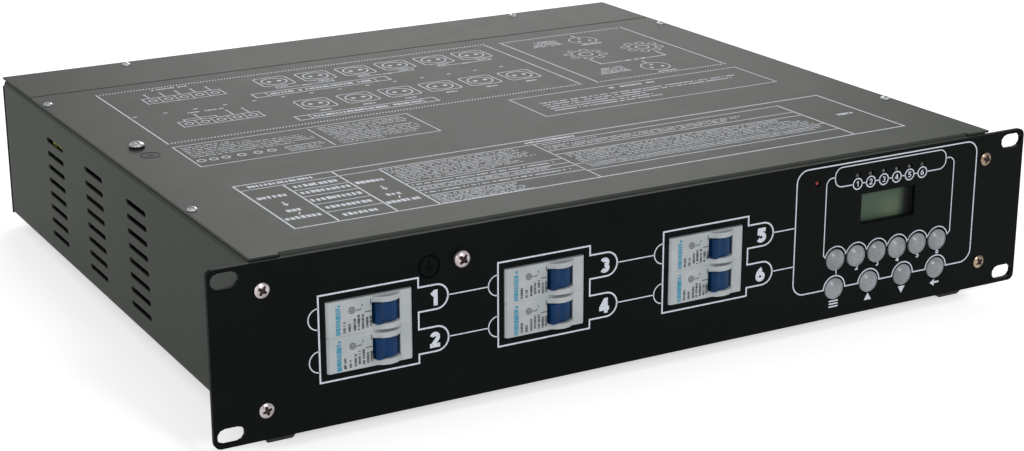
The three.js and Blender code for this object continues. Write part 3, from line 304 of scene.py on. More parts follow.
# %% Paint
def powder_coat(name, dark, light, dust, shine, grain=900.0, depth=0.00003):
    """Coat whose colour drifts between two tones, with orange peel in its bump and dust specks."""
    coat = Finish(name, Specular_IOR_Level=shine)
    drift = coat.noise(6.0, 4.0)
    cloth = coat.noise(60.0, 5.0)
    tone = coat.blend(coat.band(drift * 0.7 + cloth * 0.3, 0.35, 0.65), dark, light)
    specks = coat.specks(420.0, 0.035) * coat.band(coat.noise(25.0, 2.0), 0.52, 0.62)
    peel = coat.noise(grain, 2.0)
    return coat.feed(
        Base_Color=coat.blend(specks, tone, dust),
        Roughness=0.46 + 0.08 * cloth + 0.2 * specks,
        Normal=coat.bump(peel, depth),
    )


panel_paint = powder_coat("panel_paint", paint(7, 10, 10), paint(10, 14, 13),
                          paint(80, 82, 80), 0.04, grain=700.0, depth=0.00002)
case_paint = powder_coat("case_paint", paint(47, 51, 46), paint(50, 54, 48),
                         paint(92, 92, 88), 0.07)
print("paints:", panel_paint.material.name, case_paint.material.name)

# %% [markdown]
# Moulded plastic has soft, slow changes of tone, a very fine grain from the mould, and a skin
# that is shinier than the bulk. One recipe makes all the plastics, from the black sockets to the
# grey caps. Rubber is the same idea with a dull, dusty surface.

# %% Plastics and rubber
def moulded(name, dark, light, rough, grain=2500.0, depth=0.000012, **steady):
    """Plastic whose tone drifts between two colours, with mould grain in its bump."""
    plastic = Finish(name, **steady)
    flow = plastic.noise(70.0, 3.0)
    skin = plastic.noise(grain, 2.0)
    return plastic.feed(
        Base_Color=plastic.blend(plastic.band(flow, 0.3, 0.7), dark, light),
        Roughness=rough + 0.12 * (flow - 0.5) + 0.08 * (skin - 0.5),
        Normal=plastic.bump(skin, depth),
    )


breaker_plastic = moulded("breaker_plastic", paint(144, 149, 152), paint(154, 158, 160), 0.5,
                          Specular_IOR_Level=0.3)
toggle_plastic = moulded("toggle_plastic", paint(0, 34, 66), paint(0, 44, 84), 0.3,
                         Specular_IOR_Level=0.12)
cap_plastic = moulded("button_plastic", paint(108, 112, 116), paint(126, 130, 134), 0.3)
black_plastic = moulded("black_plastic", paint(20, 20, 22), paint(28, 28, 30), 0.48)
outlet_plastic = moulded("outlet_plastic", paint(24, 25, 27), paint(32, 33, 35), 0.4)
terminal_plastic = moulded("terminal_plastic", paint(70, 69, 66), paint(82, 81, 78), 0.5)
laminate = moulded("laminate", paint(100, 102, 106), paint(118, 120, 122), 0.5)
rubber = moulded("rubber", paint(16, 16, 16), paint(30, 30, 29), 0.85, grain=900.0, depth=0.00004)
print("plastics:", sum(m.name.endswith("plastic") for m in bpy.data.materials))

# %% [markdown]
# Screws are nickel plated, rails and washers are zinc plated, and the heat sink is extruded
# aluminium. Metal shows its colour only in reflections, so fine brushing and blurred patches of
# handling do the work here. The brush marks are noise drawn out along one axis.

# %% Metals
def plated(name, dark, light, rough, stretch=(1, 1, 1)):
    """Plated metal: tone and roughness drift together, and fine drawn-out noise is the brushing."""
    metal = Finish(name, Metallic=1.0)
    patch = metal.noise(180.0, 4.0)
    brush = metal.noise(500.0, 3.0, stretch)
    return metal.feed(
        Base_Color=metal.blend(metal.band(patch, 0.3, 0.7), dark, light),
        Roughness=rough + 0.2 * (patch - 0.5) + 0.15 * (brush - 0.5),
        Normal=metal.bump(brush, 0.000008),
    )


nickel = plated("nickel", paint(162, 150, 150), paint(204, 194, 196), 0.33)
# Dark zinc for the earth washers: painted shade under the screw heads.
shaded_zinc = plated("shaded_zinc", paint(52, 52, 50), paint(88, 88, 84), 0.42)
zinc = plated("zinc_steel", paint(168, 170, 172), paint(200, 202, 204), 0.34, (1, 1, 8))
aluminium = plated("aluminium", paint(176, 178, 180), paint(200, 202, 204), 0.36, (12, 1, 1))
yellow_zinc = plated("yellow_zinc", paint(124, 110, 92), paint(172, 154, 132), 0.3)
copper = plated("copper_winding", paint(150, 82, 44), paint(192, 118, 74), 0.38, (1, 1, 6))
# Painted shade: the faces deep in a screw's cross are painted dark, as the shade in the recess.
screw_recess_shade = Finish("screw_recess_shade", Specular_IOR_Level=0.2)
recess_shade_noise = screw_recess_shade.noise(1800.0, 3.0)
screw_recess_shade.feed(Base_Color=screw_recess_shade.blend(recess_shade_noise, paint(30, 22, 24), paint(62, 48, 50)),
                 Roughness=0.6 + 0.2 * recess_shade_noise)
print("metals:", [metal.material.name for metal in (nickel, zinc, aluminium, copper)])

# %% [markdown]
# The printing is one pass of white ink through a screen. It lies slightly uneven, so the black
# shows through where it is thin. The ink of the earth marks is nearly as dark as the paint under
# it, so a mark shows only from close by.

# %% Inks
def ink(name, thin, full, rough=0.6, shine=0.3):
    """Screen ink that is thin in places."""
    film = Finish(name, Specular_IOR_Level=shine)
    cover = film.noise(900.0, 3.0)
    return film.feed(
        Base_Color=film.blend(film.band(cover, 0.3, 0.55), thin, full),
        Roughness=rough + 0.1 * (cover - 0.5),
        Normal=film.bump(cover, 0.000006),
    )


white_ink = ink("white_ink", paint(154, 159, 169), paint(184, 189, 199))
grey_ink = ink("lid_ink", paint(160, 162, 170), paint(190, 192, 202))
cyan_ink = ink("cyan_ink", paint(12, 104, 132), paint(36, 124, 150))
dark_ink = ink("dark_ink", paint(26, 28, 28), paint(46, 48, 48))
black_ink = ink("black_ink", paint(4, 5, 5), paint(8, 9, 9), 0.3, 0.0)
stamp_ink = ink("stamp_ink", paint(12, 13, 11), paint(20, 21, 18), 0.4, 0.02)
print("inks: 6")

# %% [markdown]
# Glass and boards: the display is a reflective liquid crystal behind a clear pane, which reads
# as a grey-green field, with a painted reflection as a paler patch near its lower edge, and
# painted shade at its dark right end. Circuit board is green lacquer over copper, whose tracks
# show as a faint pattern. The earth wire is green with a yellow stripe that winds slowly round
# it, and the stripe faces the top vent.

# %% Display, board and wire
REFLECTION_ACROSS, REFLECTION_UP, REFLECTION_REACH = 0.65, 0.25, 0.011
SHADE_START, SHADE_END = 0.0085, 0.0025
display_finish = Finish("display_glass", Specular_IOR_Level=0.2)
glass_low, glass_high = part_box("display_glass")
reflection_centre = glass_low.lerp(glass_high, REFLECTION_ACROSS).x, glass_low.lerp(glass_high, REFLECTION_UP).z
across = display_finish.node("ShaderNodeSeparateXYZ", {}, [display_finish.place])
to_reflection = ((across - reflection_centre[0]) ** 2 + (across.out("Z") - reflection_centre[1]) ** 2) ** 0.5
haze = display_finish.noise(90.0, 3.0)
field = display_finish.blend(haze, paint(50, 68, 58), paint(64, 80, 64))
# Painted reflection: a paler patch near the lower edge of the glass.
painted_reflection = display_finish.band(to_reflection, REFLECTION_REACH, 0.0)
field = display_finish.blend(painted_reflection, field, paint(76, 88, 68))
# Painted shade: the glass darkens towards its right end.
shade = display_finish.band(across, glass_high.x - SHADE_START, glass_high.x - SHADE_END)
display_finish.feed(Base_Color=display_finish.blend(shade, field, paint(22, 26, 22)),
                    Roughness=0.36 + 0.1 * haze)

board_finish = Finish("circuit_board", Specular_IOR_Level=0.5)
tracks = board_finish.node("ShaderNodeTexBrick", {}, {
    "Vector": board_finish.place, "Scale": 220.0, "Mortar Size": 0.08})
lacquer = board_finish.noise(400.0, 3.0)
board_finish.feed(
    Base_Color=board_finish.blend(tracks.out("Fac"), paint(24, 72, 42), paint(40, 104, 60)),
    Roughness=0.35 + 0.2 * lacquer,
    Normal=board_finish.bump(tracks.out("Fac"), 0.00003),
)

TOP_VENT, STRIPE_TURN, WAVE_TURN = 70.9, 90.0, 20.0  # mm up the panel, and radians a metre
wire_finish = Finish("earth_insulation", Specular_IOR_Level=0.4)
stripe_start = math.pi - STRIPE_TURN * float(metres((0, 0, TOP_VENT))[2])
stripe = wire_finish.node("ShaderNodeTexWave", {"bands_direction": "Z"}, {
    "Vector": wire_finish.place, "Scale": STRIPE_TURN / WAVE_TURN,
    "Phase Offset": stripe_start})
wire_finish.feed(
    Base_Color=wire_finish.blend(wire_finish.band(stripe, 0.86, 0.9),
                                 paint(16, 84, 36), paint(236, 244, 110)),
    Roughness=0.4 + 0.1 * wire_finish.noise(900.0),
)
print("glass, board and wire ready")

# %% [markdown]
# The floor is plain and pale. It's a stage, so it isn't part of the pack. A bright room and three
# soft lamps do the lighting. The widest stands high behind the pack, on its right, and makes the
# lid shine towards the camera. A weak one at the left lights the side wall, and a small one in
# front gives the toggles, the caps and the screws their highlights.

# %% Floor, room and lights
FLOOR_REACH, FLOOR_STEPS, ROOM_LIGHT = 6.0, 5, 0.72
floor_paint = Finish("floor", Specular_IOR_Level=0.1, Emission_Color=(1, 1, 1, 1),
                     Emission_Strength=0.58)
floor_paint.feed(
    Base_Color=floor_paint.blend(floor_paint.noise(3.0, 3.0),
                                 paint(204, 204, 204), paint(208, 208, 208)),
    Roughness=0.8 + 0.1 * floor_paint.noise(40.0),
)
side = np.linspace(-FLOOR_REACH, FLOOR_REACH, FLOOR_STEPS)
floor_u, floor_v = np.meshgrid(side, side, indexing="ij")
floor_points = np.stack([floor_u, floor_v, np.full_like(floor_u, cad_low.z)], -1)
floor_mesh = bpy.data.meshes.new("floor")
floor_mesh.from_pydata(floor_points.reshape(-1, 3).tolist(), [],
                       grid_faces(FLOOR_STEPS, FLOOR_STEPS).tolist())
floor_mesh.materials.append(floor_paint.material)
floor = bpy.data.objects.new("floor", floor_mesh)
bpy.context.scene.collection.objects.link(floor)
floor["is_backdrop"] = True

bpy.context.scene.view_settings.view_transform = "Standard"
world = bpy.data.worlds.new("room")
bpy.context.scene.world = world
world.use_nodes = True
background = world.node_tree.nodes["Background"]
background.inputs["Color"].default_value = (1, 1, 1, 1)
background.inputs["Strength"].default_value = ROOM_LIGHT


def soft_light(name, place, target, size, power):
    """A square area light at a place that faces a target, all in metres from the panel."""
    data = bpy.data.lights.new(name, "AREA")
    data.size, data.energy = size, power
    light = bpy.data.objects.new(name, data)
    light.location = Vector(PANEL_ORIGIN) + Vector(place)
    aim = Vector(target) - Vector(place)
    light.rotation_euler = aim.to_track_quat("-Z", "Y").to_euler()
    bpy.context.scene.collection.objects.link(light)


soft_light("back_lamp", (1.15, 2.3, 1.4), (0, 0.2, 0), 1.5, 28)
soft_light("left_lamp", (-1.3, -1.0, 0.5), (-0.22, 0.0, 0.05), 0.6, 3)
soft_light("front_lamp", (0.1, -2.0, 1.2), (0, 0, 0.04), 0.35, 16)
print("lights:", len(bpy.data.lights))

# %% [markdown]
# The plainest way to give a CAD node its looks is to give it a material. That is right for the
# hidden pieces. What shows gets more: sheet metal has no perfectly sharp edges, so a copy of the
# node, with its loose triangles merged, gets a small round on each edge, and stands for the node.

# %% Finishes for the CAD nodes
def dress(finish, node):
    """Gives a CAD node a finish in its own material slots."""
    for material_slot in frame["nodes"][node].material_slots:
        material_slot.material = finish.material


def names(stem, count):
    """The names stem_1, stem_2 and so on."""
    return [f"{stem}_{number + 1}" for number in range(count)]


body_of = {node: body for body, nodes in frame["record"]["behaviour"]["bodies"].items()
           for node in nodes}


CREASE, FLAT = 32, 0.5  # degrees: edges that turn by more get a round, or are flat under less


def softened(node, finish, edge):
    """A merged copy of a CAD node: flat areas are joined, and creased edges get a round of so
    many millimetres. Normals lean towards the largest face, so that flat sheet stays flat up to
    its rounds. The copy stands for the node."""
    mesh = frame["nodes"][node].data.copy()
    mesh.name = "soft_" + node
    shell = bmesh.new()
    shell.from_mesh(mesh)
    bmesh.ops.remove_doubles(shell, verts=shell.verts, dist=1e-6)
    bmesh.ops.dissolve_limit(shell, angle_limit=math.radians(FLAT), verts=shell.verts,
                             edges=shell.edges)
    shell.to_mesh(mesh)
    shell.free()
    piece = finished_piece("soft_" + node, mesh, finish, CREASE, body_of[node], (node,))
    if edge:
        bevel = piece.modifiers.new("edge", "BEVEL")
        bevel.width, bevel.segments = edge * MM, 2
        bevel.limit_method, bevel.angle_limit = "ANGLE", math.radians(CREASE)
        bevel.loop_slide = False
        flat = piece.modifiers.new("flat_faces", "WEIGHTED_NORMAL")
        flat.weight, flat.keep_sharp = 100, True
    return piece


print("nodes with a body:", len(body_of))

# %% [markdown]
# A mesh's points can be read as one array, moved with a formula, and written back. The middles of
# its faces say which part of the piece each face belongs to, so that a solid that stands for
# several soldered or clamped parts gets the finish of each part.

# %% Points and faces of a copy
def mesh_points(piece):
    """The points of a piece's mesh in panel millimetres, one row each."""
    points = np.empty(len(piece.data.vertices) * 3)
    piece.data.vertices.foreach_get("co", points)
    return (points.reshape(-1, 3) - PANEL_ORIGIN) / MM


def set_mesh_points(piece, points):
    """Writes points in panel millimetres back into a piece's mesh."""
    piece.data.vertices.foreach_set("co", metres(points).ravel())
    piece.data.update()


def face_middles(piece):
    """The middles of a mesh's faces in panel millimetres, one row each."""
    middles = np.empty(len(piece.data.polygons) * 3)
    piece.data.polygons.foreach_get("center", middles)
    return (middles.reshape(-1, 3) - PANEL_ORIGIN) / MM


def zoned(node, finishes, choose, edge=0.1):
    """A softened copy with several finishes. The function choose takes the middles of all faces,
    in panel millimetres, and gives the number of each face's finish."""
    piece = softened(node, finishes[0], edge)
    for finish in finishes[1:]:
        piece.data.materials.append(finish.material)
    chosen = choose(face_middles(piece))
    piece.data.polygons.foreach_set("material_index", chosen.astype(np.int32))


print("helpers for copies ready")

# %% [markdown]
# The sheet metal of the case gets narrow rounds, and the moulded rubber of the feet wide ones.

# %% Case, panel and feet
for finish, slot, edges in (
        (case_paint, "case_paint", {"chassis_tray": 0.3, "top_lid": 0.1, "rear_top_cover": 0.3,
                                    "rear_panel": 0.3}),
        (panel_paint, "panel_paint", {"front_panel": 0.2}),
        (rubber, "rubber", dict.fromkeys(names("rubber_foot", 4), 0.6))):
    for node, edge in edges.items():
        softened(node, finish, edge)

# %% [markdown]
# Seen close, the toggles are slimmer than the bare model's, their levers are shorter, and the
# pockets round them are as narrow as they are. So the copies of both are drawn in. The toggle
# shrinks round its pin, which keeps its hinge, and the pocket's walls follow it.

# %% Slimmer toggles
DRUM_RADIUS, DRUM_SHARE, LEVER_SHARE = 9.05, 0.94, 0.6
POCKET_HALF, POCKET_SHARE, WALL_NEAR = 6.2, 0.88, 0.12
SLOT_REACH, SLOT_SHIFT, SLOT_NEAR, SLOT_DEEP = 7.7, 0.7, 0.1, 2.0


def slim_toggle(piece, node):
    """Distance from the pin's axis is multiplied by one share up to the drum's radius and by a
    smaller one beyond it, and distance from the toggle's middle level by the pocket's share."""
    low, high = node_box(node)
    axis = np.array([high[0] - DRUM_RADIUS, high[1] - DRUM_RADIUS])
    level = (low[2] + high[2]) / 2
    points = mesh_points(piece)
    arm = points[:, :2] - axis
    reach = np.hypot(*arm.T)
    inner = np.minimum(reach, DRUM_RADIUS)
    scaled = inner * DRUM_SHARE + (reach - inner) * LEVER_SHARE
    points[:, :2] = axis + arm * (scaled / np.maximum(reach, 0.001))[:, None]
    points[:, 2] = level + (points[:, 2] - level) * POCKET_SHARE
    set_mesh_points(piece, points)


def slim_pocket(piece, node, toggle):
    """The pocket's two walls come nearer to its middle, to the toggle's new width, and the right
    end of the slot in the face comes nearer to the drum."""
    low, high = node_box(node)
    axis_x, level = node_box(toggle)[1][0] - DRUM_RADIUS, (low[2] + high[2]) / 2
    points = mesh_points(piece)
    height = points[:, 2] - level
    wall = np.abs(np.abs(height) - POCKET_HALF) < WALL_NEAR
    slot_end = wall & (np.abs(points[:, 0] - axis_x - SLOT_REACH) < SLOT_NEAR)
    slot_end &= points[:, 1] < SLOT_DEEP
    points[slot_end, 0] -= SLOT_SHIFT
    points[wall, 2] = level + height[wall] * POCKET_SHARE
    set_mesh_points(piece, points)
    return int(wall.sum()), int(slot_end.sum())


for node, toggle in zip(names("breaker", 6), names("breaker_toggle", 6)):
    moved = slim_pocket(softened(node, breaker_plastic, 0.1), node, toggle)
    slim_toggle(softened(toggle, toggle_plastic, 0.4), toggle)
print("wall and slot points moved on each breaker:", moved)

# %% [markdown]
# The black sockets at the back get soft edges too. The hidden pieces inside keep their CAD meshes
# and need only a material, and so does the flat glass of the display.

# %% Black sockets and hidden pieces
for node in ("control_output", "din_socket_1", "din_socket_2", "cable_gland"):
    softened(node, black_plastic, 0.25)
dress(zinc, "breaker_bracket")
dress(aluminium, "heat_sink")
dress(terminal_plastic, "terminal_block")
dress(display_finish, "display_glass")

# %% [markdown]
# The earth wire climbs from the terminals to the screw in the lid. Where it passes the top vent it
# hangs level for a few centimetres, so only that vent shows it. It is moved by a formula too.

# %% The wire behind the top vent
WIRE_START, WIRE_CLIMB, WIRE_LEVEL = (313.5, 62.7), 0.42, 68.6
WIRE_FADES = ((1, 278, 12), (1, 324, -14), (2, 50, 12))  # axis, start, and length with its sign


def level_wire(piece):
    """The wire runs level behind the top vent: where its own line climbs forwards, each point
    moves by the level less that line, and the move fades out to both sides and downwards."""
    points = mesh_points(piece)
    line = WIRE_START[1] + WIRE_CLIMB * (WIRE_START[0] - points[:, 1])
    share = np.prod([np.clip((points[:, axis] - start) / length, 0, 1)
                     for axis, start, length in WIRE_FADES], 0)
    points[:, 2] += (WIRE_LEVEL - line) * share
    set_mesh_points(piece, points)


level_wire(softened("earth_wire", wire_finish, 0))
print("wire levelled at", WIRE_LEVEL, "mm up the panel")

# %% [markdown]
# The back of the pack isn't in the photograph, so it follows what the lid's diagrams show. Each
# safety outlet has two earth clips of springy metal in its well, and the control input has three
# pins. These are parts of one CAD node, so a face is given metal where its middle lies on a clip.

# %% Outlets and control input
CLIP_HALF, CLIP_NEAR, CLIP_FAR, WELL_FLOOR = 2.7, 17.7, 19.7, 389.0
PIN_REACH, PIN_DEEP, PIN_TIP = 5.4, 12.5, 1.0


def outlet_zone(node):
    """A chooser for one outlet: 1 on its two earth clips, 0 elsewhere."""
    (x0, _, z0), (x1, _, z1) = node_box(node)

    def choose(centres):
        u, v = np.abs(centres[:, 0] - (x0 + x1) / 2), np.abs(centres[:, 2] - (z0 + z1) / 2)
        on_clip = (u < CLIP_HALF) & (v > CLIP_NEAR) & (v < CLIP_FAR)
        return on_clip & (centres[:, 1] > WELL_FLOOR)

    return choose


for node in names("outlet", 6):
    zoned(node, [outlet_plastic, nickel], outlet_zone(node), 0.4)


def pin_zone(centres):
    """1 on the pins of the control input, which stand in its well, 0 elsewhere."""
    (x0, _, z0), (x1, rim, z1) = node_box("control_input")
    off = np.hypot(centres[:, 0] - (x0 + x1) / 2, centres[:, 2] - (z0 + z1) / 2)
    deep = rim - centres[:, 1]
    return (off < PIN_REACH) & (deep < PIN_DEEP) & (deep > PIN_TIP)


zoned("control_input", [black_plastic, nickel], pin_zone, 0.15)
print("outlets: 6, control input: 1")

# %% [markdown]
# Inside, the power board holds copper-wound chokes and black triacs on short posts, and the
# transformer has a wound coil in a stack of sheets. They show when the pack is taken apart.

# %% Power board and transformer
BOARD_TOP, BOARD_BOTTOM, TRIAC_ROW, COIL_END = 13.4, 11.6, 12.0, 5.4
power_low, power_high = node_box("power_board")
core_low, core_high = node_box("mains_transformer")


def power_zone(centres):
    """0 board, 1 copper of the chokes, 2 black of the triacs, 3 posts."""
    _, y, z = centres.T
    zone = np.zeros(len(centres), int)
    zone[z > BOARD_TOP] = 1
    zone[(z > BOARD_TOP) & (y < power_low[1] + TRIAC_ROW)] = 2
    zone[z < BOARD_BOTTOM] = 3
    return zone


def core_zone(centres):
    """1 on the coil, which stands out at both ends of the stack, 0 on the stack."""
    y = centres[:, 1]
    return (y < core_low[1] + COIL_END) | (y > core_high[1] - COIL_END)


zoned("power_board", [board_finish, copper, black_plastic, nickel], power_zone, 0)
zoned("mains_transformer", [laminate, copper], core_zone, 0.2)
print("power board from", power_low.round(1), "to", power_high.round(1))

# %% [markdown]
# Printed lines are about a twentieth of a millimetre thick, and they are real shapes here, not
# colour on the paint. A line is a path with a width: each corner moves to both sides along its
# mitre, and the strip gets a floor just under the paint and a top just over it. Filled marks are
# flat polygons made the same way.

# %% Raised print
INK_TOP, INK_ROOT = 0.05, -0.03


class Print:
    """Collects flat shapes in a surface's own two coordinates, in millimetres, and makes them
    one raised piece."""

    def __init__(self):
        self.points, self.faces, self.count = [], [], 0

    def add(self, points, faces):
        """Adds points (u, v, height) and the faces between them."""
        points = np.asarray(points, float).reshape(-1, 3)
        self.points.append(points)
        self.faces.extend((np.asarray(face) + self.count).tolist() for face in faces)
        self.count += len(points)

    def line(self, path, width, closed=False, top=INK_TOP):
        """A strip along a path: side = point ± half width × mitre, where the mitre is the mean
        of the two side normals over the cosine of half the turn between them."""
        path = np.asarray(path, float)
        ahead = np.roll(path, -1, 0) - path
        ahead /= np.maximum(np.linalg.norm(ahead, axis=1, keepdims=True), 1e-9)
        behind = np.roll(ahead, 1, 0)
        if not closed:
            ahead[-1], behind[0] = behind[-1], ahead[0]
        normal = (ahead + behind)[:, ::-1] * [-1, 1]
        normal /= np.linalg.norm(normal, axis=1, keepdims=True)
        side_normal = ahead[:, ::-1] * [-1, 1]
        mitre = normal / np.maximum((normal * side_normal).sum(1, keepdims=True), 0.4)
        left, right = path + mitre * width / 2, path - mitre * width / 2
        corners = [(left, top), (right, top), (right, INK_ROOT), (left, INK_ROOT)]
        section = np.stack([np.column_stack([side, np.full(len(path), height)])
                            for side, height in corners], 1)
        if closed:
            section = np.concatenate([section, section[:1]])
        faces = grid_faces(len(section), 4, around=True).tolist()
        if not closed:
            last = (len(section) - 1) * 4
            faces += [[0, 1, 2, 3], [last, last + 1, last + 2, last + 3]]
        self.add(section, faces)

    def shapes(self, corners):
        """Filled polygons: an array of n shapes with k corners each, all made at once."""
        corners = np.asarray(corners, float)
        amount, sides = corners.shape[:2]
        lifted = [np.concatenate([corners, np.full((amount, sides, 1), height)], 2)
                  for height in (INK_TOP, INK_ROOT)]
        points = np.concatenate(lifted, 1)
        k = np.arange(sides)
        walls = np.stack([k, (k + 1) % sides, (k + 1) % sides + sides, k + sides], 1)
        first = (np.arange(amount) * 2 * sides)[:, None]
        faces = [*(k + first).tolist(), *(k + sides + first).tolist(),
                 *(walls[None] + first[:, :, None]).reshape(-1, 4).tolist()]
        self.add(points, faces)

    def bars(self, boxes):
        """Upright rectangles from rows of u0, v0, u1, v1."""
        u0, v0, u1, v1 = np.asarray(boxes, float).T
        self.shapes(np.stack([np.stack(pair, 1) for pair in
                              ((u0, v0), (u1, v0), (u1, v1), (u0, v1))], 1))

    def piece(self, name, surface, finish, slot):
        """Lays the shapes on a surface, a function of u, v and height, as one piece."""
        u, v, height = np.concatenate(self.points).T
        mesh_piece(name, metres(np.stack(surface(u, v, height), -1)), self.faces, finish,
                   smooth=30)


def arc(u, v, radius, start, end, steps=12):
    """Points round a centre from one angle to another, in degrees."""
    angle = np.radians(np.linspace(start, end, steps + 1))
    return np.stack([u + radius * np.cos(angle), v + radius * np.sin(angle)], 1)


def on_panel(u, v, height):
    """The panel's front: u runs right, v up, and height comes out of the panel."""
    return u, -height, v


def on_lid(u, v, height):
    """The lid's top: u runs right, v back, and height up."""
    return u, v, LID_TOP + height


print("print stands", INK_TOP, "mm over the paint")

# %% [markdown]
# On the panel, a stepped outline runs round each pair of breakers. On its right it bulges into
# two tabs that hold the channel numbers, and two half circles stand on its left. Thin lines join
# each tab to the next pair, and the last two to the control frame, so the eye can follow a
# channel across the panel.

# %% Lines round the breakers
outline_width, thin_width = 0.84, 0.58
half_width, outline_low, outline_high = 26.15, 22.8, 66.4
tab_straight, tab_bands, bump_radius = 9.7, ((27.3, 40.0), (48.9, 61.4)), 5.35
channel_rows = (33.6, 55.0)
control_left = 87.2
group_centres = [float(sum(corner[0] for corner in node_box(f"breaker_{number}")) / 2)
                 for number in (1, 3, 5)]

panel_lines = Print()
for index, centre in enumerate(group_centres):
    right, left = centre + half_width, centre - half_width
    path = [[[left, outline_high], [left, outline_low], [right, outline_low]]]
    for low, high in tab_bands:
        radius = (high - low) / 2
        path += [[[right, low]], arc(right + tab_straight, (low + high) / 2, radius, -90, 90, 16),
                 [[right, high]]]
    path.append([[right, outline_high]])
    panel_lines.line(np.concatenate(path), outline_width, closed=True)
    for row, (low, high) in zip(channel_rows, tab_bands):
        panel_lines.line(arc(left, row, bump_radius, 90, 270, 16), thin_width)
        tip = right + tab_straight + (high - low) / 2
        last = index == len(group_centres) - 1
        end = control_left if last else group_centres[index + 1] - half_width - bump_radius
        panel_lines.line([[tip, row], [end, row]], thin_width)
print("breaker groups at", [round(centre, 2) for centre in group_centres])

# %% [markdown]
# The control side has a large rounded frame, which climbs over each menu button, and an inner
# line that climbs over each channel button and runs up to a capsule with the channel lamps. The
# capsule's lower line stops at six small rings, one for each channel.

# %% Lines round the controls
frame_left, frame_right, frame_low, frame_high, frame_round = control_left, 208.1, 16.8, 85.8, 7.0
menu_nodes = ["menu_button", "up_button", "down_button", "back_button"]
channel_keys, menu_keys = [
    [tuple(float(value) for value in (low + high)[[0, 2]] / 2)
     for low, high in (node_box(node) for node in keys)]
    for keys in (names("channel_button", 6), menu_nodes)]
key_line, menu_ring, key_ring, key_ring_rise = 0.7, 7.1, 7.15, 0.45

outer = [arc(frame_left + frame_round, frame_high - frame_round, frame_round, 90, 180),
         arc(frame_left + frame_round, frame_low + frame_round, frame_round, 180, 270)]
outer += [arc(x, frame_low, menu_ring, 180, 0, 20) for x, _ in menu_keys]
outer += [arc(frame_right - frame_round, frame_low + frame_round, frame_round, 270, 360),
          arc(frame_right - frame_round, frame_high - frame_round, frame_round, 0, 90)]
panel_lines.line(np.concatenate(outer), key_line, closed=True)

inner_left, inner_right, inner_low, inner_high, inner_round = 106.5, 192.4, 36.5, 75.2, 3.8
capsule_left, capsule_right, capsule_low, capsule_high = 112.0, 186.6, 73.3, 84.0
capsule_round = 4.6
first_ring, ring_pitch, ring_radius, ring_line = 127.0, 8.72, 2.95, 0.64
ring_x = [first_ring + ring_pitch * number for number in range(6)]
key_z = channel_keys[0][1]
reach = math.degrees(math.asin((channel_keys[1][0] - channel_keys[0][0]) / 2 / key_ring))
inner = [[[capsule_left, inner_high + inner_round]],
         arc(inner_left + inner_round, inner_high, inner_round, 90, 180),
         [[inner_left, inner_low]]]
inner += [arc(x, key_z + key_ring_rise, key_ring, 90 + reach, 90 - reach, 16)
          for x, _ in channel_keys]
inner += [[[inner_right, inner_low]],
          arc(inner_right - inner_round, inner_high, inner_round, 0, 90),
          [[capsule_right, inner_high + inner_round]]]
panel_lines.line(np.concatenate(inner), thin_width)
panel_lines.line(np.concatenate([
    [[ring_x[0] - ring_radius, capsule_low]],
    arc(capsule_left + capsule_round, capsule_low + capsule_round, capsule_round, 270, 180),
    arc(capsule_left + capsule_round, capsule_high - capsule_round, capsule_round, 180, 90),
    arc(capsule_right - capsule_round, capsule_high - capsule_round, capsule_round, 90, 0),
    arc(capsule_right - capsule_round, capsule_low + capsule_round, capsule_round, 0, -90),
    [[ring_x[-1] + ring_radius, capsule_low]]]), thin_width)
for number, x in enumerate(ring_x):
    panel_lines.line(arc(x, capsule_low, ring_radius, 0, 360, 32)[:-1], ring_line, closed=True)
    if number:
        panel_lines.line([[ring_x[number - 1] + ring_radius, capsule_low],
                          [x - ring_radius, capsule_low]], thin_width)

# %% [markdown]
# Under each menu button stands a plain sign: three bars for the list, an arrow up, an arrow
# down, and an arrow to the left for the way back. They are filled shapes of three or four corners.

# %% Signs under the menu buttons
sign_z, bar_reach, bar_half, bar_step = 8.1, 3.0, 0.42, 1.6
arrow_half, arrow_foot, arrow_tip = 2.4, 1.9, 2.1
head_tip, head_foot, head_half, stem_root, stem_half = 3.2, 0.2, 2.0, 0.3, 0.55
(list_x, _), (up_x, _), (down_x, _), (back_x, _) = menu_keys
panel_lines.bars([[list_x - bar_reach, sign_z + step - bar_half,
                   list_x + bar_reach, sign_z + step + bar_half]
                  for step in (-bar_step, 0, bar_step)])
for x, way in ((up_x, 1), (down_x, -1)):
    foot_z = sign_z - way * arrow_foot
    panel_lines.shapes([[[x - way * arrow_half, foot_z], [x + way * arrow_half, foot_z],
                         [x, sign_z + way * arrow_tip]]])
panel_lines.shapes([[[back_x - head_tip, sign_z], [back_x - head_foot, sign_z - head_half],
                     [back_x - head_foot, sign_z + head_half]]])
panel_lines.bars([[back_x - stem_root, sign_z - stem_half, back_x + bar_reach,
                   sign_z + stem_half]])
panel_lines.piece("panel_print", on_panel, white_ink, "panel_paint")
print("panel print points:", panel_lines.count)

# %% [markdown]
# The numbers are heavy, plain figures. Blender's own letters are lighter than these, so each
# figure is drawn as a sign painter would: one stroke along a path of arcs and straight lines, in
# a box that is one unit high, and then scaled to its size.

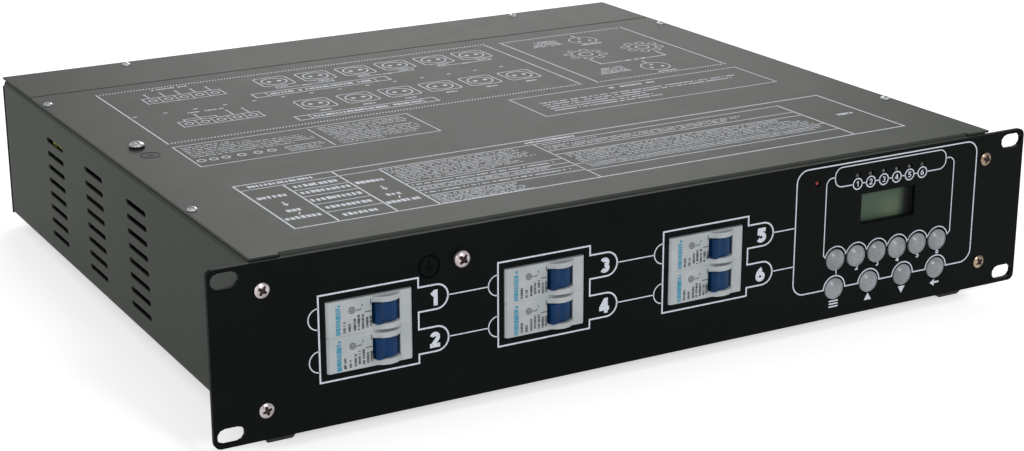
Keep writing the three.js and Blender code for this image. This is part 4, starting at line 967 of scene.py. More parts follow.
# %% Numbers
def figure(number, thick):
    """Strokes of a figure from 1 to 6 in a box 1 high, as pairs of a path and whether it closes.
    A path is the middle of its stroke, so curves keep half a thickness from the box."""
    top, bottom = 0.5 - thick / 2, -0.5 + thick / 2
    bowl = (top - bottom) / 4
    wide = 0.34 - thick / 2
    if number == 1:
        return [([[0.08, 0.5], [0.08, -0.5]], False), ([[-0.2, 0.2], [0.05, 0.36]], False)]
    if number == 2:
        curl = arc(0, top - wide, wide, 168, -38)
        return [(np.concatenate([curl, [[-wide * 0.72, bottom * 0.9]]]), False),
                ([[-wide - thick / 2, bottom], [wide + thick / 2, bottom]], False)]
    if number == 3:
        return [(arc(0, top - bowl, bowl, 150, -90) * [1.12, 1], False),
                (arc(0, bottom + bowl, bowl, 90, -150) * [1.2, 1], False)]
    if number == 4:
        return [([[0.13, 0.5], [0.13, -0.5]], False), ([[-0.36, -0.19], [0.36, -0.19]], False),
                ([[0.1, 0.42], [-0.25, -0.14]], False)]
    if number == 5:
        belly = bowl + 0.05
        return [([[-0.25, top], [0.3, top]], False), ([[-0.17, 0.48], [-0.2, 0.02]], False),
                (arc(-0.03, bottom + belly, belly, 125, -150) * [1.1, 1], False)]
    ring = bowl + 0.03
    reach = (top - bottom - ring) / math.sin(math.radians(112))
    return [(arc(0, bottom + ring, ring, 0, 360, 24)[:-1] * [1.1, 1], True),
            (arc(reach - ring * 1.1, bottom + ring, reach, 180, 112), False)]


def draw_figure(target, number, u, v, tall, thick):
    """Draws a figure of a height around u and v with strokes of a share of that height. Each
    stroke stands a hundredth of a millimetre over the one it crosses."""
    for layer, (path, closed) in enumerate(figure(number, thick)):
        target.line(np.asarray(path) * tall + [u, v], thick * tall, closed, INK_TOP + 0.01 * layer)


PAIR_FIGURE, RING_FIGURE, KEY_FIGURE = (8.0, 0.27), (3.2, 0.165), (2.9, 0.21)  # tall, thick
number_offset, row_heights = half_width + 8.6, (54.8, 33.3)
key_figure_offset, key_figure_z = 0.6, 26.2
panel_numbers = Print()
for group, centre in enumerate(group_centres):
    for row, z in enumerate(row_heights):
        draw_figure(panel_numbers, 2 * group + row + 1, centre + number_offset, z, *PAIR_FIGURE)
for number, x in enumerate(ring_x):
    draw_figure(panel_numbers, number + 1, x, capsule_low, *RING_FIGURE)
for number, (x, _) in enumerate(channel_keys):
    draw_figure(panel_numbers, number + 1, x + key_figure_offset, key_figure_z, *KEY_FIGURE)
panel_numbers.piece("panel_numbers", on_panel, white_ink, "panel_paint")
print("numbers drawn:", 3 * 6)

# %% [markdown]
# Screws, washers, caps, lamps and seals are all turned: a profile of radius and height is carried
# round an axis. Each faces to the front, to the back, up or down, so four sets of axes do.

# %% Turned pieces
AXES = {"front": ((1, 0, 0), (0, 0, 1), (0, -1, 0)), "back": ((-1, 0, 0), (0, 0, 1), (0, 1, 0)),
        "up": ((1, 0, 0), (0, 1, 0), (0, 0, 1)), "down": ((1, 0, 0), (0, -1, 0), (0, 0, -1))}


def fade(value, low, high):
    """0 under low, 1 over high, and smooth between."""
    share = np.clip((value - low) / (high - low), 0, 1)
    return share * share * (3 - 2 * share)


def turned_points(place, facing, radius, height, steps):
    """Rings of points round an axis: point = place + across × radius × cosine
    + up × radius × sine + out × height. Radius and height are rings × steps arrays."""
    across, up, out = (np.array(axis, float) for axis in AXES[facing])
    angle = np.linspace(0, 2 * math.pi, steps, endpoint=False)
    radius, height = np.broadcast_arrays(radius, height)
    return (np.asarray(place, float) + across * (radius * np.cos(angle))[..., None]
            + up * (radius * np.sin(angle))[..., None] + out * height[..., None])


def turned_piece(name, place, facing, profile, finish, steps=48, body="case", replaces=(),
                 smooth=40):
    """A profile of radius and height, in millimetres, carried round an axis. It starts and ends
    on the axis, so the shell is closed."""
    radius, height = np.asarray(profile, float).T
    points = turned_points(place, facing, radius[:, None], height[:, None] * np.ones(steps), steps)
    faces = grid_faces(len(profile), steps, around=True)
    mesh_piece(name, metres(points), faces, finish, smooth, body, replaces)


def middle(node, *axes):
    """The middle of a CAD node along the given axes, in panel millimetres."""
    low, high = node_box(node)
    return [float((low + high)[axis] / 2) for axis in axes]


print("directions for turned pieces:", *AXES)

# %% [markdown]
# Pan-head screws have a cross: a dome whose height falls from the middle to the rim, with the
# cross pressed into it. The height is a function of radius and angle, so one grid makes the
# whole head, and each screw gets its own turn, as a fitter would leave it.

# %% Screw heads
SUNK = 0.02  # mm that a head or a washer reaches into what carries it
HEAD_STEPS, HEAD_RINGS = 72, 26


def cross_share(x, y, radius):
    """1 inside a cross of four arms that narrow outwards, 0 outside, and smooth at its edge."""
    near, far = np.minimum(np.abs(x), np.abs(y)), np.maximum(np.abs(x), np.abs(y))
    half, arm = 0.25 * radius - 0.2 * far, 0.62 * radius
    return (1 - fade(near, half * 0.8, half * 1.25)) * (1 - fade(far, arm * 0.88, arm * 1.08))


def cross_head(radius, rise, turn):
    """Radius and height of a pan head on a grid: a dome, 1 - (r / R) ^ 2.6 over its rim, less a
    cross that gets shallower outwards."""
    angle = np.linspace(0, 2 * math.pi, HEAD_STEPS, endpoint=False)
    r = np.linspace(0, 1, HEAD_RINGS)[:, None] ** 0.9 * radius * np.ones(HEAD_STEPS)
    edge = 0.32 * rise
    dome = edge + (rise - edge) * (1 - (r / radius) ** 2.6)
    cross = cross_share(r * np.cos(angle - turn), r * np.sin(angle - turn), radius)
    recess = cross * 0.8 * rise * (1.1 - 0.5 * r / radius)
    skirt = np.array([[radius, 0.0], [radius * 0.5, -SUNK], [0.0, -SUNK]])
    radii = np.concatenate([r, skirt[:, :1] * np.ones(HEAD_STEPS)])
    heights = np.concatenate([dome - recess, skirt[:, 1:] * np.ones(HEAD_STEPS)])
    return radii, heights


def screw(name, place, facing, radius, rise, turn, finish=nickel, replaces=()):
    """A screw head with its cross turned by an angle in degrees. Faces in the cross get painted
    shade.
    """
    turn = math.radians(turn)
    radii, heights = cross_head(radius, rise, turn)
    points = turned_points(place, facing, radii, heights, radii.shape[1])
    faces = grid_faces(len(radii), radii.shape[1], around=True)
    piece = mesh_piece(name, metres(points), faces, finish, smooth=50,
                       replaces=replaces)
    piece.data.materials.append(screw_recess_shade.material)
    offset = face_middles(piece) - np.asarray(place, float)
    across, up, out = (offset @ np.array(axis, float) for axis in AXES[facing])
    u = across * math.cos(turn) + up * math.sin(turn)
    v = up * math.cos(turn) - across * math.sin(turn)
    # The faces in the cross get the painted shade.
    shaded_recess = (cross_share(u, v, radius) > 0.45) & (out > 0.05 * rise)
    piece.data.polygons.foreach_set("material_index", shaded_recess.astype(np.int32))


PANEL_HEAD, YELLOW_HEAD, LID_HEAD = (3.75, 1.6), (3.6, 1.6), (2.75, 1.6)  # radius, rise
turns = iter((18, 57, 33, 74, 12, 41, 66, 25, 50, 8, 37, 61, 29, 80, 5, 46, 70, 21, 54, 14, 38, 62,
              27, 71, 9, 48, 64, 31, 77, 16))
for node in names("panel_screw", 4):
    x, z = middle(node, 0, 2)
    head, finish = (YELLOW_HEAD, yellow_zinc) if x > 0 else (PANEL_HEAD, nickel)
    screw(node + "_head", (x, -SUNK, z), "front", *head, next(turns), finish, replaces=(node,))
for node in names("lid_screw", 4):
    x, y = middle(node, 0, 1)
    screw(node + "_head", (x, y, LID_TOP), "up", *LID_HEAD, next(turns), zinc, replaces=(node,))

# %% [markdown]
# The two earth screws clamp a washer each, so that an earth wire can go under it. The washer is
# a flat ring with worn edges, painted dark as painted shade under the head, and the head on it is
# wider and taller than the others.

# %% Earth screws
WASHER_RADIUS, WASHER_BORE, WASHER_THICK, WASHER_WORN = 4.4, 2.6, 1.3, 0.25
EARTH_HEAD = (4.2, 2.2)
washer_profile = [(WASHER_BORE, -SUNK), (WASHER_BORE, WASHER_THICK),
                  (WASHER_RADIUS - WASHER_WORN, WASHER_THICK),
                  (WASHER_RADIUS, WASHER_THICK - WASHER_WORN), (WASHER_RADIUS, -SUNK),
                  (WASHER_BORE, -SUNK)]
front_x, front_z = middle("front_earth_screw", 0, 2)
lid_x, lid_y = middle("lid_earth_screw", 0, 1)
for node, facing, ground, finish in (
        ("front_earth_screw", "front", (front_x, 0, front_z), nickel),
        ("lid_earth_screw", "up", (lid_x, lid_y, LID_TOP), zinc)):
    turned_piece(node + "_washer", ground, facing, washer_profile, shaded_zinc)
    head = np.array(ground) + np.array(AXES[facing][2]) * WASHER_THICK
    screw(node + "_head", head, facing, *EARTH_HEAD, next(turns), finish, replaces=(node,))
print("earth screws: 2")

# %% [markdown]
# Small screws hold the rear panel, the rear top cover, the sockets and the feet. They have no CAD
# nodes, so they are new pieces on the surfaces that they hold. Where a socket's rim stands out
# from its flange, the screws sit that much deeper.

# %% Small screws
REAR_FACE = float(node_box("rear_panel")[1][1])
COVER_ROW, OUTPUT_RIM, ROUND_RIM, FOOT_WELL = 394, 1.6, 1.5, 4.0
REAR_HEAD, COVER_HEAD, INPUT_HEAD, ROUND_HEAD, FOOT_HEAD = (
    (2.9, 1.5), (2.7, 1.5), (1.9, 0.9), (1.8, 0.9), (3.2, 1.8))
for number, (x, z) in enumerate([(x, z) for x in (-211, 211) for z in (14.9, 74.3)]):
    screw(f"rear_panel_screw_{number + 1}", (x, REAR_FACE, z), "back", *REAR_HEAD, next(turns),
          zinc)
for number, x in enumerate((-141, 141)):
    screw(f"rear_cover_screw_{number + 1}", (x, COVER_ROW, LID_TOP), "up", *COVER_HEAD,
          next(turns), zinc)
for node, step, drop, sunk, head in (
        ("control_input", 9.7, 12.3, 0, INPUT_HEAD),
        ("control_output", 9.7, 12.3, OUTPUT_RIM, INPUT_HEAD),
        ("din_socket_1", 10.9, 0, ROUND_RIM, ROUND_HEAD),
        ("din_socket_2", 10.9, 0, ROUND_RIM, ROUND_HEAD)):
    x, z = middle(node, 0, 2)
    face = node_box(node)[1][1] - sunk
    for number, side in ((1, -1), (2, 1)):
        screw(f"{node}_screw_{number}", (x + side * step, face, z - side * drop), "back", *head,
              next(turns))
for node in names("rubber_foot", 4):
    x, y = middle(node, 0, 1)
    screw(node + "_screw", (x, y, node_box(node)[0][2] + FOOT_WELL), "down", *FOOT_HEAD,
          next(turns), zinc)

# %% [markdown]
# A rubber seal closes the gland's bore as long as no cable goes through it. It is a disc whose
# outer face is dished like a shallow bowl: its height falls by the square of the radius towards
# the middle. Above each outlet stands the number of its channel.

# %% Seal and numbers at the back
GLAND_PLACE, SEAL_RADIUS = (-186.0, 402.0, 44.5), 8.5
SEAL_FRONT, SEAL_BACK, SEAL_DISH = 13, 17, 1.5
OUTLET_FIGURE, OUTLET_FIGURE_Z = (6.0, 0.22), 77.6
seal_r = np.linspace(0, SEAL_RADIUS, 8)
seal_height = SEAL_BACK - SEAL_DISH * (1 - (seal_r / SEAL_RADIUS) ** 2)
seal_profile = [*np.stack([seal_r, seal_height], 1), (SEAL_RADIUS, SEAL_FRONT), (0, SEAL_FRONT)]
turned_piece("gland_seal", GLAND_PLACE, "back", seal_profile, rubber)


def on_back(u, v, height):
    """The rear panel: u runs right for someone behind the pack, v up, and height comes out."""
    return -u, REAR_FACE + height, v


back_numbers = Print()
for number, node in enumerate(names("outlet", 6)):
    x, _ = middle(node, 0, 2)
    draw_figure(back_numbers, number + 1, -x, OUTLET_FIGURE_Z, *OUTLET_FIGURE)
back_numbers.piece("outlet_numbers", on_back, grey_ink, "case_paint")
print("numbers at the back: 6")

# %% [markdown]
# The push buttons are moulded caps with a low crown and a rounded shoulder. The runner through
# which the plastic came into the mould has left a small dimple in the middle of each.

# %% Button caps
CROWN_TOP, CROWN_FALL, CROWN_POWER, DIMPLE = 2.5, 1.9, 2.4, 0.4
SHOULDER, SHOULDER_DROP, SKIRT_BACK, STEM_RADIUS, PLAY = 0.7, 0.8, -5.0, 1.7, 0.15


def button_cap(node):
    """Crown height = top - fall × (share of the radius) ^ power, with a dimple in the middle, a
    quarter round at the shoulder, a straight skirt, and the stem behind."""
    low, high = node_box(node)
    x, z = (low + high)[[0, 2]] / 2
    radius, back = float(high[0] - low[0]) / 2 - PLAY, float(-high[1])
    inner = radius - SHOULDER
    r = np.linspace(0, inner, 18)
    crown = CROWN_TOP - CROWN_FALL * (r / inner) ** CROWN_POWER - DIMPLE * (1 - fade(r, 0.2, 0.62))
    bend = np.radians(np.linspace(0, 90, 6))[1:]
    edge_r = inner + SHOULDER * np.sin(bend)
    edge_h = crown[-1] - SHOULDER_DROP * (1 - np.cos(bend))
    tail = [(radius, SKIRT_BACK), (STEM_RADIUS, SKIRT_BACK), (STEM_RADIUS, back), (0, back)]
    profile = np.concatenate([np.stack([r, crown], 1), np.stack([edge_r, edge_h], 1), tail])
    turned_piece(node + "_cap", (x, 0, z), "front", profile, cap_plastic,
                 64, body_of[node], (node,), smooth=35)


for node in names("channel_button", 6) + menu_nodes:
    button_cap(node)

# %% [markdown]
# The lamps are small light-emitting diodes whose tips sit in holes. Unlit, the red one is a dull
# red and the others a smoky grey with a trace of pink.

# %% Lamps
def tinted(name, deep, pale, **steady):
    """Cast lamp resin, whose tone drifts in swirls between a deep and a pale colour."""
    resin = Finish(name, Specular_IOR_Level=0.5, **steady)
    swirl = resin.noise(1500.0, 2.0)
    return resin.feed(Base_Color=resin.blend(resin.band(swirl, 0.35, 0.65), deep, pale),
                      Roughness=0.18 + 0.1 * swirl)


red_lens = tinted("red_lens", paint(80, 8, 12), paint(128, 16, 20))
clear_lens = tinted("clear_lens", paint(44, 42, 42), paint(84, 80, 80))
LAMP_RADIUS, LAMP_RISE, LAMP_SUNK, LAMP_FOOT = 1.35, 1.2, 1.3, -4.0
POWER_LAMP, FIRST_LAMP, LAMP_PITCH = (100.6, 77.4), (127.0, 77.7), 8.73
lamp_places = [POWER_LAMP] + [(FIRST_LAMP[0] + LAMP_PITCH * number, FIRST_LAMP[1])
                              for number in range(6)]
dome_angle = np.radians(np.linspace(0, 90, 9))
dome = np.stack([LAMP_RADIUS * np.sin(dome_angle), LAMP_RISE * np.cos(dome_angle) - LAMP_SUNK], 1)
lamp_profile = [*dome, (LAMP_RADIUS, LAMP_FOOT), (0, LAMP_FOOT)]
for number, (x, z) in enumerate(lamp_places):
    turned_piece("power_lens" if number == 0 else f"channel_lens_{number}", (x, 0, z), "front",
                 lamp_profile, clear_lens if number else red_lens, 24)
print("lamps:", len(lamp_places))

# %% [markdown]
# One CAD node holds the control board with all that is soldered to it. Its copy keeps the shape
# and gets several finishes: each face takes the finish of the part it belongs to, which is found
# from the place of its middle.

# %% Control board parts
board_low, board_high = node_box("control_board")
BOARD_FRONT, BOARD_BACK, LAMP_REACH, POST_END = 11.7, 13.6, 2.4, 10
POST_LEVEL, POST_OFF = 43, 26


def board_zone(centres):
    """0 lacquered board, 1 black plastic in front of it or behind it, 2 lamps, 3 posts."""
    x, y, z = centres.T
    in_front = y < BOARD_FRONT
    zone = np.where(in_front | (y > BOARD_BACK), 1, 0)
    for u, v in lamp_places:
        zone[(np.hypot(x - u, z - v) < LAMP_REACH) & in_front] = 2
    near_end = np.minimum(x - board_low[0], board_high[0] - x) < POST_END
    zone[near_end & in_front & (np.abs(z - POST_LEVEL) > POST_OFF)] = 3
    return zone


zoned("control_board", [board_finish, black_plastic, clear_lens, nickel], board_zone)
print("control board from", board_low.round(1), "to", board_high.round(1))

# %% [markdown]
# Rows of small blocks give a surface the grey of small print from a distance. Their lengths and
# gaps are drawn at random, from a seed, so every run draws the same ones.

# %% Rows of blocks
draws = np.random.default_rng(11)


def block_row(target, start, end, height, pitch, across=False, gaps=0.16):
    """Blocks along a line from start to end: block = start + number × pitch, between half and
    nine tenths of a pitch long and about as tall as the row, with random gaps."""
    start, end = np.asarray(start, float), np.asarray(end, float)
    run = float(np.abs(end - start).sum())
    near = np.arange(0, run - 0.5 * pitch, pitch)
    near = near[draws.random(len(near)) > gaps]
    length = pitch * draws.uniform(0.5, 0.9, len(near))
    low = -height / 2 * draws.choice([1.0, 1.0, 0.9], len(near))
    high = height / 2 * draws.choice([1.0, 0.72, 0.85], len(near))
    boxes = np.stack([near, low, near + length, high], 1)
    if across:
        boxes = boxes[:, [1, 0, 3, 2]]
    target.bars(boxes + np.tile(np.minimum(start, end), 2))


print("rows of blocks ready")

# %% [markdown]
# Each breaker has a wide cyan row of blocks near its left edge, some dark rows, a ring, a short
# wave, and a tick beside the toggle. The two breakers of a pair meet at a seam, a shallow line.

# %% Marks on the breakers
BREAKER_FACE, SEAM_DEPTH, SEAM_HALF, SEAM_WIDE = -1.0, 0.14, 22.2, 0.28
CYAN_ROWS = ((-16.5, -8.2, 5.4, 2.6, 0.8), (-16.2, 6.0, 7.6, 1.4, 1.6))  # place, width, pitch
MARK_ROWS = ((-13.4, -7.6, -2.2), (-10.7, -7.4, -3.2), (-8.0, -7.2, -1.0), (-5.9, -7.2, 0.4),
             (-3.7, -7.0, 0.6), (-1.5, -6.8, -1.2), (0.4, -6.4, -1.0))
MARK_WIDE, MARK_PITCH, RING_PLACE, MARK_RINGS = 1.35, 0.7, (-9.4, 3.2), ((1.55, 0.4), (0.7, 0.45))
MARK_LINES = (([(-7.2, 2.4), (-6.4, 3.2), (-5.4, 2.6), (-4.4, 3.6)], 0.35),
              ([(-4.2, 5.6), (-3.8, 4.4)], 0.4), ([(-2.6, 1.2), (0.9, 1.2)], 0.4),
              ([(0.5, 4.4), (0.5, 7.2)], 0.4))


def on_breaker(u, v, height):
    """A breaker's face: u runs right, v up, and height comes out of the face."""
    return u, BREAKER_FACE - height, v


cyan_marks, dark_marks, seams = Print(), Print(), Print()
for group, centre in enumerate(group_centres):
    pair = [f"breaker_{2 * group + number}" for number in (1, 2)]
    seam_z = (node_box(pair[0])[0][2] + node_box(pair[1])[1][2]) / 2
    seams.line([[centre - SEAM_HALF, seam_z], [centre + SEAM_HALF, seam_z]], SEAM_WIDE)
    for node in pair:
        z, = middle(node, 2)
        for offset, low, high, width, pitch in CYAN_ROWS:
            block_row(cyan_marks, (centre + offset, z + low), (centre + offset, z + high), width,
                      pitch, across=True, gaps=0.0)
        for offset, low, high in MARK_ROWS:
            block_row(dark_marks, (centre + offset, z + low), (centre + offset, z + high),
                      MARK_WIDE, MARK_PITCH, across=True, gaps=0.1)
        ring_u, ring_v = centre + RING_PLACE[0], z + RING_PLACE[1]
        for radius, width in MARK_RINGS:
            dark_marks.line(arc(ring_u, ring_v, radius, 0, 360, 16)[:-1], width, closed=True)
        for path, width in MARK_LINES:
            dark_marks.line(np.array(path) + [centre, z], width)
cyan_marks.piece("breaker_cyan_marks", on_breaker, cyan_ink, "breaker_plastic")
dark_marks.piece("breaker_dark_marks", on_breaker, dark_ink, "breaker_plastic")
seams.piece("breaker_seams", lambda u, v, height: (u, BREAKER_FACE + SEAM_DEPTH - height, v),
            breaker_plastic, "breaker_plastic")
print("blocks on the breakers:", (cyan_marks.count + dark_marks.count) // 8)

# %% [markdown]
# An earth mark stands beside each earth screw: a ring with the usual sign of a stem and three
# bars. Its ink is nearly as dark as the paint, so the ring is a little higher than other print,
# and its edge and its gloss make it show.

# %% Earth marks
def earth_mark(target, u, v, radius):
    """A ring, a stem from above, and three bars that get shorter downwards."""
    target.line(arc(u, v, radius, 0, 360, 40)[:-1], 0.17 * radius, closed=True, top=0.16)
    stem = 0.13 * radius
    target.bars([[u - stem / 2, v + 0.02 * radius, u + stem / 2, v + 0.66 * radius]])
    for step, half in ((0.0, 0.5), (-0.25, 0.34), (-0.5, 0.18)):
        low = v + step * radius
        target.bars([[u - half * radius, low - stem / 2, u + half * radius, low + stem / 2]])


panel_earth = Print()
earth_mark(panel_earth, -128.5, 71.0, 5.4)
panel_earth.piece("panel_earth_mark", on_panel, black_ink, "panel_paint")
lid_earth = Print()
earth_mark(lid_earth, -199.0, 188.9, 5.2)
lid_earth.piece("lid_earth_mark", on_lid, stamp_ink, "case_paint")
print("earth marks: 2")

# %% [markdown]
# The lid is printed all over: diagrams of the sockets and terminals at the back of the pack, and
# a table at the front. The frames round the diagrams have plain sides, and their top and bottom
# edges are rows of slanted bars.

# %% Frames and table on the lid
lid_print = Print()
LID_LINE, SIDE_HALF, SIDE_PAST = 0.7, 0.42, 1.0
HATCH_START, HATCH_END, HATCH_PITCH, HATCH_WIDE, HATCH_TALL, HATCH_LEAN = (
    1.4, 2.2, 1.95, 0.8, 1.8, 0.8)


def hatched_frame(left, low, right, high):
    """Solid sides, and slanted bars along the top and bottom: bar = left + number × pitch."""
    for side in (left, right):
        lid_print.bars([[side - SIDE_HALF, low - SIDE_PAST, side + SIDE_HALF, high + SIDE_PAST]])
    near = np.arange(left + HATCH_START, right - HATCH_END, HATCH_PITCH)
    for edge in (low, high):
        bottom, top = edge - HATCH_TALL / 2, edge + HATCH_TALL / 2
        corners = [(near, bottom), (near + HATCH_WIDE, bottom),
                   (near + HATCH_WIDE + HATCH_LEAN, top), (near + HATCH_LEAN, top)]
        lid_print.shapes(np.stack([np.stack([u, np.full_like(u, v)], 1) for u, v in corners], 1))


def boxed(left, low, right, high, width=LID_LINE):
    """The outline of a rectangle."""
    corners = np.array([[left, low], [right, low], [right, high], [left, high]], float)
    lid_print.line(corners, width, closed=True)


def rules(lines, width=LID_LINE):
    """Straight lines, each from u0, v0 to u1, v1."""
    for u0, v0, u1, v1 in lines:
        lid_print.line([[u0, v0], [u1, v1]], width)


hatched_frame(-183.0, 205.0, 80.6, 327.0)
hatched_frame(92.0, 204.0, 185.0, 325.0)
boxed(-183.4, 154.0, -41.4, 197.0)
rules([(-104.3, 157.0, -104.3, 194.0)])
boxed(24.6, 150.5, 184.9, 193.5)

TABLE_LEFT, TABLE_RIGHT, TABLE_LOW, TABLE_HIGH = -182.6, 185.1, 33.6, 112.0
boxed(TABLE_LEFT, TABLE_LOW, TABLE_RIGHT, TABLE_HIGH, 1.0)
rules([(x, TABLE_LOW, x, top) for x, top in
       ((-159.1, 102.4), (-127.7, 112.0), (-104.3, 102.9), (150.9, 104.5))], 1.0)
rules([(-11.4, TABLE_LOW, -11.4, 103.5)], LID_LINE)
rules([(TABLE_LEFT, 102.6, -104.3, 102.6), (-104.3, 103.6, 150.9, 103.6)])
rules([(-159.1, z, -127.7, z) for z in (90.0, 78.0, 63.6, 49.4)])
rules([(-104.3, z, -11.4, z) for z in (73.0, 64.8, 58.6, 49.4)])
rules([(-11.4, z, 150.9, z) for z in (88.2, 80.6, 60.2, 47.2)])
print("frames and table:", lid_print.count, "points")

# %% [markdown]
# The diagrams repeat a few signs: a safety outlet, a strip of terminals, a round plug with three
# pins, and a round socket with eight holes. Each is drawn once as a function and then placed.

# %% Diagrams on the lid
def ring(u, v, radius, width=0.85, steps=28):
    """A closed circle of a width."""
    lid_print.line(arc(u, v, radius, 0, 360, steps)[:-1], width, closed=True)


def disc(u, v, radius, steps=12):
    """A filled circle."""
    lid_print.shapes([arc(u, v, radius, 0, 360, steps)[:-1]])


def outlet_sign(u, v):
    """A square with cut corners round a circle with two dots."""
    half, cut = 10.4, 1.8
    corners = [[half - cut, half], [half, half - cut], [half, -half + cut], [half - cut, -half],
               [-half + cut, -half], [-half, -half + cut], [-half, half - cut], [-half + cut, half]]
    lid_print.line(np.array(corners[::-1]) + [u, v], 0.75, closed=True)
    ring(u, v, 7.8, 0.8)
    for side in (-1, 1):
        disc(u + side * 3.3, v, 1.5)
        rules([(u + side * 3.0, v + 7.8, u + side * 3.0, v + 6.2)], 0.7)


def terminal_sign(low, high, wires, bracket=None):
    """A row of five cells, each with a dot, and wires that rise from some of them."""
    left, cell = -162.5, 9.8
    boxed(left, low, left + 5 * cell, high)
    rules([(left + number * cell, low, left + number * cell, high) for number in range(1, 5)], 0.6)
    for number in range(5):
        ring(left + (number + 0.5) * cell, (low + high) / 2, 2.4, 0.7, 14)
    for number, top in wires:
        x = left + (number + 0.5) * cell
        rules([(x, high, x, top)], 0.7)
        disc(x, top, 0.9, 8)
    if bracket:
        first, last, level = bracket
        start, end = left + (first + 0.5) * cell, left + (last + 0.5) * cell
        lid_print.line([[start, high], [start, level], [end, level], [end, high]], 0.7)


outlet_x = [-76.9, -49.2, -21.9, 5.4, 32.9, 60.2]
for x in outlet_x:
    outlet_sign(x, 305.7)
    outlet_sign(x, 244.2)
    block_row(lid_print, (x - 4.2, 228.2), (x + 3.6, 228.2), 2.2, 1.3, gaps=0.0)
for left, right in zip(outlet_x[::2], outlet_x[1::2]):
    centre = (left + right) / 2
    for x, side in ((left, -1), (right, 1)):
        block_row(lid_print, (x - 3.6, 292.2), (x + 3.4, 292.2), 1.8, 1.2, gaps=0.0)
        bend = x + side * 4.8
        lid_print.line([[bend, 292.4], [bend, 288.6], [centre + side * 4, 288.6]], 0.8)
    block_row(lid_print, (centre - 3, 288.2), (centre + 3, 288.2), 2.2, 1.3, gaps=0.0)
terminal_sign(292.0, 304.5, [(number, 314.0) for number in range(5)])
terminal_sign(233.0, 244.5, [(1, 256.0), (3, 256.0), (4, 256.0)], (0, 2, 248.6))
for height in (322.4, 261.4):
    block_row(lid_print, (-150.0, height), (-128.0, height), 2.3, 1.5)
for low, high, left, right in ((273.5, 283.0, -101.5, -13.0), (213.5, 222.5, -100.0, -11.0)):
    boxed(left, low, right, high, 0.8)
    rules([(x, low, x, high) for x in (left + 8.4, right - 8.4)], 0.6)
    level = (low + high) / 2
    block_row(lid_print, (left + 10.5, level), (right - 10.0, level), 3.4, 2.3, gaps=0.1)
lid_print.bars([[x, 267.4, x + 2.6, 268.6] for x in np.arange(-181.0, 78.0, 18.5)])

for u, v, label in ((143.0, 305.0, 293.2), (144.5, 221.0, 207.8)):
    ring(u, v, 9.2, 0.65)
    for pin in arc(u, v, 4.6, 90, 330, 2):
        disc(*pin, 1.2)
    rules([(u, v + 9.2, u, v + 14.0)], 0.9)
    disc(u, v + 14.0, 1.1, 8)
    block_row(lid_print, (u - 8.0, label), (u + 8.0, label), 2.4, 1.7)
for u, v in ((124.0, 270.0), (166.0, 269.0)):
    ring(u, v, 9.0, 0.6)
    ring(u, v, 4.4, 0.8, 18)
    for hole in arc(u, v, 11.2, 22.5, 337.5, 7):
        ring(*hole, 2.6, 0.55, 12)
for start, top, end in ((118.5, 256.0, 134.5), (166.5, 255.0, 152.5)):
    lid_print.line([[start, top], [start, 242.5], [end, 242.5]], 0.9)
block_row(lid_print, (136.0, 242.5), (151.0, 242.5), 2.6, 1.7)
for low in (302.0, 219.6):
    for row, left in enumerate((103.0, 106.0, 108.0, 109.5, 111.0)):
        block_row(lid_print, (left, low + 2.9 * row), (126.0, low + 2.9 * row), 1.5, 1.1)
print("diagrams:", lid_print.count, "points")

# %% [markdown]
# The columns on the lid hold rows of small blocks, and the table's cells hold larger ones with
# plain arrows between them. A list gives where each row ends, so the columns keep their outlines.

# %% Rows of blocks on the lid
def block_lines(left, ends, first, pitch, tall=1.05, step=0.95):
    """Rows one under the other: each row runs from left to its own end."""
    for row, right in enumerate(ends):
        level = first - row * pitch
        block_row(lid_print, (left, level), (right, level), tall, step)


def word_row(middle_of_word, half, tall, pitch):
    """A row of large blocks, close together, half as long to each side of its middle."""
    u, v = middle_of_word
    block_row(lid_print, (u - half, v), (u + half, v), tall, pitch, gaps=0.0)


def down_arrow(u, v):
    """A stem with a head that points to the front."""
    rules([(u, v + 3.6, u, v - 1.0)], 0.9)
    lid_print.shapes([[[u - 1.7, v - 0.8], [u, v - 4.0], [u + 1.7, v - 0.8]]])


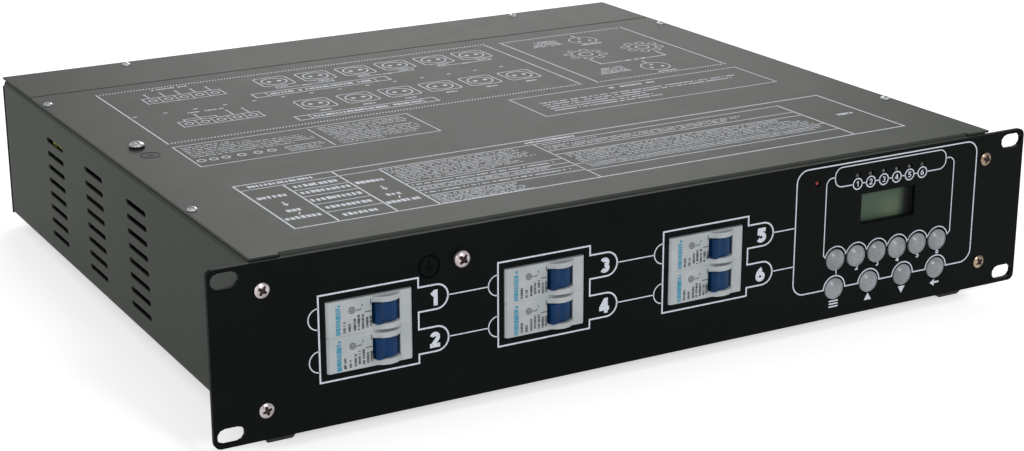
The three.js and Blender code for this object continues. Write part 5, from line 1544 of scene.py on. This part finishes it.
block_lines(-180.6, (-152, -140, -113, -112, -107, -107, -122), 192.6, 3.3)
for number, left in enumerate((-179.0, -172.0, -165.0, -156.0, -146.5, -138.5)):
    ring(left, 164.8, 2.2, 0.8, 12)
block_lines(-131.0, (-108, -107, -111, -112), 167.4, 3.0)
block_lines(-99.0, (-48, -46, -46, -48, -66, -46, -46, -46, -47, -50, -52, -73), 193.0, 3.1)
block_row(lid_print, (90.0, 188.0), (122.0, 188.0), 3.0, 1.9)
block_lines(35.5, (173.0, 168.0, 103.0, 106.0, 113.0), 177.0, 4.4, 1.7, 1.25)

word_row((-158.0, 107.4), 18.5, 3.4, 2.3)
word_row((2.0, 107.9), 16.0, 3.0, 2.1)
for x in (-171.0, -116.6):
    word_row((x, 86.4), 9.0, 4.3, 2.8)
    down_arrow(x, 72.6)
    word_row((x, 60.6), 4.2, 3.9, 2.8)
    rules([(x - 0.8, 53.0, x + 1.0, 56.6)], 0.8)
    word_row((x, 48.8), 10.0, 4.3, 2.8)
for level, half in ((96.2, 12.6), (84.6, 13.6), (70.8, 14.0), (56.6, 12.6), (42.0, 10.0)):
    word_row((-143.4, level), half, 4.4, 2.8)
block_row(lid_print, (157.0, 70.8), (178.5, 70.8), 3.2, 2.2)
for column in ((-102.3, (-25, -23, -26, -22, -22, -24, -20, -37, -33, -31, -50), 101.2, 2.5),
               (-102.3, (-17,), 69.0, 3.0, 1.7, 1.2), (-102.3, (-24, -26), 63.0, 2.1),
               (-102.3, (-17,), 54.2, 3.0, 1.7, 1.2),
               (-102.3, (-54, -55, -56, -52, -53, -54, -51), 47.2, 2.05),
               (-8.8, (27,), 100.6, 2.5), (-8.8, (119, 116, 108), 96.4, 2.5),
               (-6.0, (133, 131, 137, 142, 145), 78.4, 2.5),
               (-6.0, (144, 146, 140, 146, 145, 138), 65.6, 2.6),
               (-6.0, (140, 143, 138), 57.2, 2.5)):
    block_lines(*column)
lid_print.piece("lid_print", on_lid, grey_ink, "case_paint")
print("lid print:", len(lid_print.faces), "faces")

# %% The bounds of the dressed pack
low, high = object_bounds()
